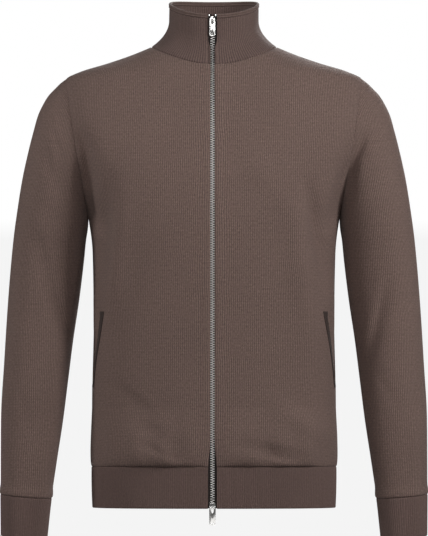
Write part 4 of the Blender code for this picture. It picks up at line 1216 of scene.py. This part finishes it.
def knitFinish(name, look):
    g = Graph(bpy.data.materials.new(name))
    uv, across, down = g.cloth()
    place = g.place()
    drift = g.calc("SUBTRACT", g.noise(place, 14.0, 1.0), 0.5)
    across = g.line(across, drift, look["wander"] * 4 * mm)
    wale = g.calc("FRACT", g.calc("DIVIDE", across, look["wale"] * mm))
    fromMiddle = g.times(g.calc("ABSOLUTE", g.calc("SUBTRACT", wale, 0.5)), 2.0)
    ridge = g.calc("SUBTRACT", 1.0, g.calc("POWER", fromMiddle, 2.4))
    # each stitch is a V: its two legs lean away from the middle of the wale
    row = g.line(g.calc("DIVIDE", down, look["course"] * mm), fromMiddle, 0.55)
    leg = g.calc("ADD", g.times(g.calc("SINE", g.times(row, 2 * math.pi)), 0.5), 0.5)
    fuzz = g.noise(g.stretched(uv, (1500, 700, 1)), 1.0, 3.0, 0.6)
    height = g.line(g.times(ridge, g.line(0.6, leg, 0.4)), fuzz, 0.3)
    g.bump(height, look["bump"], 0.9)
    # mottled yarn: a fine fleck along each wale, and a slow change over the panel
    fleck = g.noise(g.stretched(uv, (620, 300, 1)), 1.0, 2.0, 0.65)
    cloud = g.noise(place, 9.0, 3.0)
    mottle = g.times(g.line(1 - look["fleck"] / 2, fleck, look["fleck"] * 2), g.line(0.80, cloud, 0.16))
    # ridges lighter and furrows darker by the stitch's height: painted shade in the knit's hollows
    value = g.times(mottle, g.line(look["shade"], height, 1.05 - look["shade"]))
    # yarn of two close shades, one a little plum and one a little olive
    red, green, blue = look["colour"]
    plum, olive = tint((red, green * 0.95, blue * 1.05)), tint((red * 0.99, green * 1.05, blue * 0.94))
    scaled = g.node("ShaderNodeVectorMath", operation="SCALE")
    g.feed(scaled.inputs[0], g.mix(g.noise(g.stretched(uv, (300, 420, 1)), 1.0, 2.0, 0.6), plum, olive))
    g.feed(scaled.inputs["Scale"], value)
    g.surface({"Base Color": scaled.outputs[0], "Roughness": 0.86, "Specular IOR Level": 0.22,
               "Sheen Weight": 0.06, "Sheen Roughness": 0.45})
    return g.owner


def tapeFinish():
    g = Graph(bpy.data.materials.new("woven zip tape"))
    uv, across, down = g.cloth()
    weave = g.times(*(g.calc("SINE", g.times(way, 2 * math.pi / (width * mm)))
                      for way, width in ((across, 0.55), (down, 0.7))))
    g.bump(weave, 0.08, 0.8)
    colour = g.mix(g.line(0.5, weave, 0.5), (0.020, 0.015, 0.014, 1), (0.040, 0.030, 0.027, 1))
    g.surface({"Base Color": colour, "Roughness": 0.8, "Specular IOR Level": 0.3})
    return g.owner


def metalFinish(name, colour, roughness, scratch):
    g = Graph(bpy.data.materials.new(name))
    place = g.place()
    brushed = g.noise(g.stretched(place, (900, 900, 5200)), 1.0, 4.0, 0.6)
    smudge = g.noise(place, 260.0, 2.0)
    g.surface({"Base Color": g.mix(smudge, tint(colour, 0.9), tint(colour, 1.05)), "Metallic": 1.0,
               "Roughness": g.line(roughness - 0.05, g.calc("ADD", brushed, smudge), 0.06)})
    g.bump(brushed, scratch, 0.5)
    return g.owner


def dress(made, material, body, slot, *nodes):
    made.data.materials.clear()
    made.data.materials.append(material)
    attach(made, body)
    if nodes:
        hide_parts(*nodes)
    return made


bodyKnit = knitFinish("fine body knit", knits["body"])
ribKnit = knitFinish("ribbed knit", knits["rib"])
collarKnit = knitFinish("collar knit", knits["collar"])
edgeKnit = knitFinish("rolled edge knit", knits["edge"])
mouthShadeKnit = knitFinish("pocket mouth painted shade knit", knits["mouth"])
tapeWeave = tapeFinish()
brightMetal = metalFinish("polished nickel", (0.80, 0.79, 0.77), 0.16, 0.006)
toothMetal = metalFinish("zip tooth nickel", (0.92, 0.91, 0.88), 0.5, 0.004)


for side, word in ((1, "left"), (-1, "right")):
    front = dress(makeFront(side), bodyKnit, "garment", "body_knit", "front_" + word)
    # the strip in the sunk mouth wears a very dark knit: painted shade in the pocket's recess
    mouth = dress(makeWelt(side, front), mouthShadeKnit, "garment", "rib_knit", "pocket_welt_" + word)
    sleevePiece = dress(makeSleeve(side), bodyKnit, "garment", "body_knit", "sleeve_" + word)
    cuff = dress(makeCuff(side), ribKnit, "garment", "rib_knit", "cuff_" + word)
    tape = dress(makeTape(side), tapeWeave, "garment", "zip_tape", "zip_tape_" + word)
back = dress(makeBack(), bodyKnit, "garment", "body_knit", "back")
ribHem = dress(makeHem(), ribKnit, "garment", "rib_knit", "hem_rib")
collarPiece, collarEdge = makeCollar()
dress(collarPiece, collarKnit, "garment", "collar_knit", "collar")
dress(collarEdge, edgeKnit, "garment", "collar_knit", "collar_edge")
print("cloth ready")

dress(makeTeeth(), toothMetal, "garment", "bright_metal", "zip_chain")
for which in ("upper", "lower"):
    slider = finishedMetal("slider_" + which, "zip_slider_" + which)
    dress(slider, brightMetal, "garment", "bright_metal", "slider_" + which)
    pull = finishedMetal("pull_" + which, "zip_pull_" + which, 0.3)
    dress(pull, brightMetal, which + "_pull", "bright_metal", "pull_" + which)
for word in ("left", "right"):
    stop = finishedMetal("top_stop_" + word, "zip_stop_" + word)
    dress(stop, brightMetal, "garment", "bright_metal", "top_stop_" + word)
print("zip ready")

# ---- studio ----
studio = {
    "distance": 5.0,
    "aim": (0.0, -0.3219),      # x and height of the picture's middle
    "lens": 231.6,
    "floorHeight": -0.95,
    "floorRadius": 2.6,
    "paper": (0.90, 0.90, 0.90),
    "worldLight": 0.10,
    "floorGlow": 0.55,          # keeps the far floor as pale as the paper
    "lowSky": (0.905, 0.905, 0.905),
    "horizon": (0.008, 0.014),
    "lamps": [                  # name, place, aim, size, watts
        ("left softbox", (-1.9, -0.7, 0.5), (0, 0, -0.2), (0.5, 0.9), 12),
        ("right softbox", (1.6, -1.15, 0.5), (0, 0, -0.15), (0.5, 0.6), 21),
        ("key softbox", (-0.1, -1.9, 0.4), (0, 0, -0.1), (0.9, 0.7), 9.5),
        ("back softbox", (0.5, 2.0, 0.8), (0, 0, -0.2), (1.2, 1.0), 48),
    ],
}


def makeFloor():
    bpy.ops.mesh.primitive_circle_add(vertices=96, radius=studio["floorRadius"], fill_type="NGON",
                                      location=(0, 0, studio["floorHeight"]))
    floor = bpy.context.active_object
    floor.name = "pale_floor"
    # its own light would wash out the shade under the hem
    floor.visible_diffuse = False
    g = Graph(bpy.data.materials.new("pale paper floor"))
    paper = tint(studio["paper"])
    g.surface({"Base Color": g.mix(g.noise(g.place(), 60.0, 3.0), tint(studio["paper"], 0.985), paper),
               "Roughness": 0.9, "Emission Color": paper, "Emission Strength": studio["floorGlow"]})
    floor.data.materials.append(g.owner)


def makeWorld():
    # white above, a little grey below the horizon, and dimmer for what it lights
    world = bpy.data.worlds.new("studio")
    bpy.context.scene.world = world
    g = Graph(world)
    shown, light = g.tree.nodes["Background"], g.node("ShaderNodeBackground")
    both = g.node("ShaderNodeMixShader")
    split = g.node("ShaderNodeSeparateXYZ")
    ramp = g.node("ShaderNodeMapRange")
    white = tint((1, 1, 1))
    for socket, value in (
            (split.inputs[0], g.node("ShaderNodeTexCoord").outputs["Generated"]),
            (ramp.inputs["Value"], split.outputs["Z"]),
            (ramp.inputs["From Min"], studio["horizon"][0]),
            (ramp.inputs["From Max"], studio["horizon"][1]),
            (shown.inputs["Color"], g.mix(ramp.outputs["Result"], tint(studio["lowSky"]), white)),
            (light.inputs["Color"], white),
            (light.inputs["Strength"], studio["worldLight"]),
            (both.inputs["Fac"], g.node("ShaderNodeLightPath").outputs["Is Camera Ray"]),
            (both.inputs[1], light.outputs[0]),
            (both.inputs[2], shown.outputs[0]),
            (g.tree.nodes["World Output"].inputs["Surface"], both.outputs[0])):
        g.feed(socket, value)


def areaLight(name, place, aim, size, power):
    data = bpy.data.lights.new(name, "AREA")
    data.shape = "RECTANGLE"
    data.size, data.size_y = size
    data.energy = power
    lamp = placed(name, data)
    lamp.location = place
    lamp.visible_camera = False
    lamp.rotation_euler = (Vector(aim) - Vector(place)).to_track_quat("-Z", "Y").to_euler()


makeFloor()
makeWorld()
for lampRow in studio["lamps"]:
    areaLight(*lampRow)

cameraData = bpy.data.cameras.new("camera")
cameraData.lens = studio["lens"]
cameraData.sensor_width = 36
cameraData.clip_end = 50
camera = placed("camera", cameraData)
camera.location = (studio["aim"][0], -studio["distance"], studio["aim"][1])
camera.rotation_euler = (math.pi / 2, 0, 0)
bpy.context.scene.camera = camera
bpy.context.scene.view_settings.view_transform = "Standard"
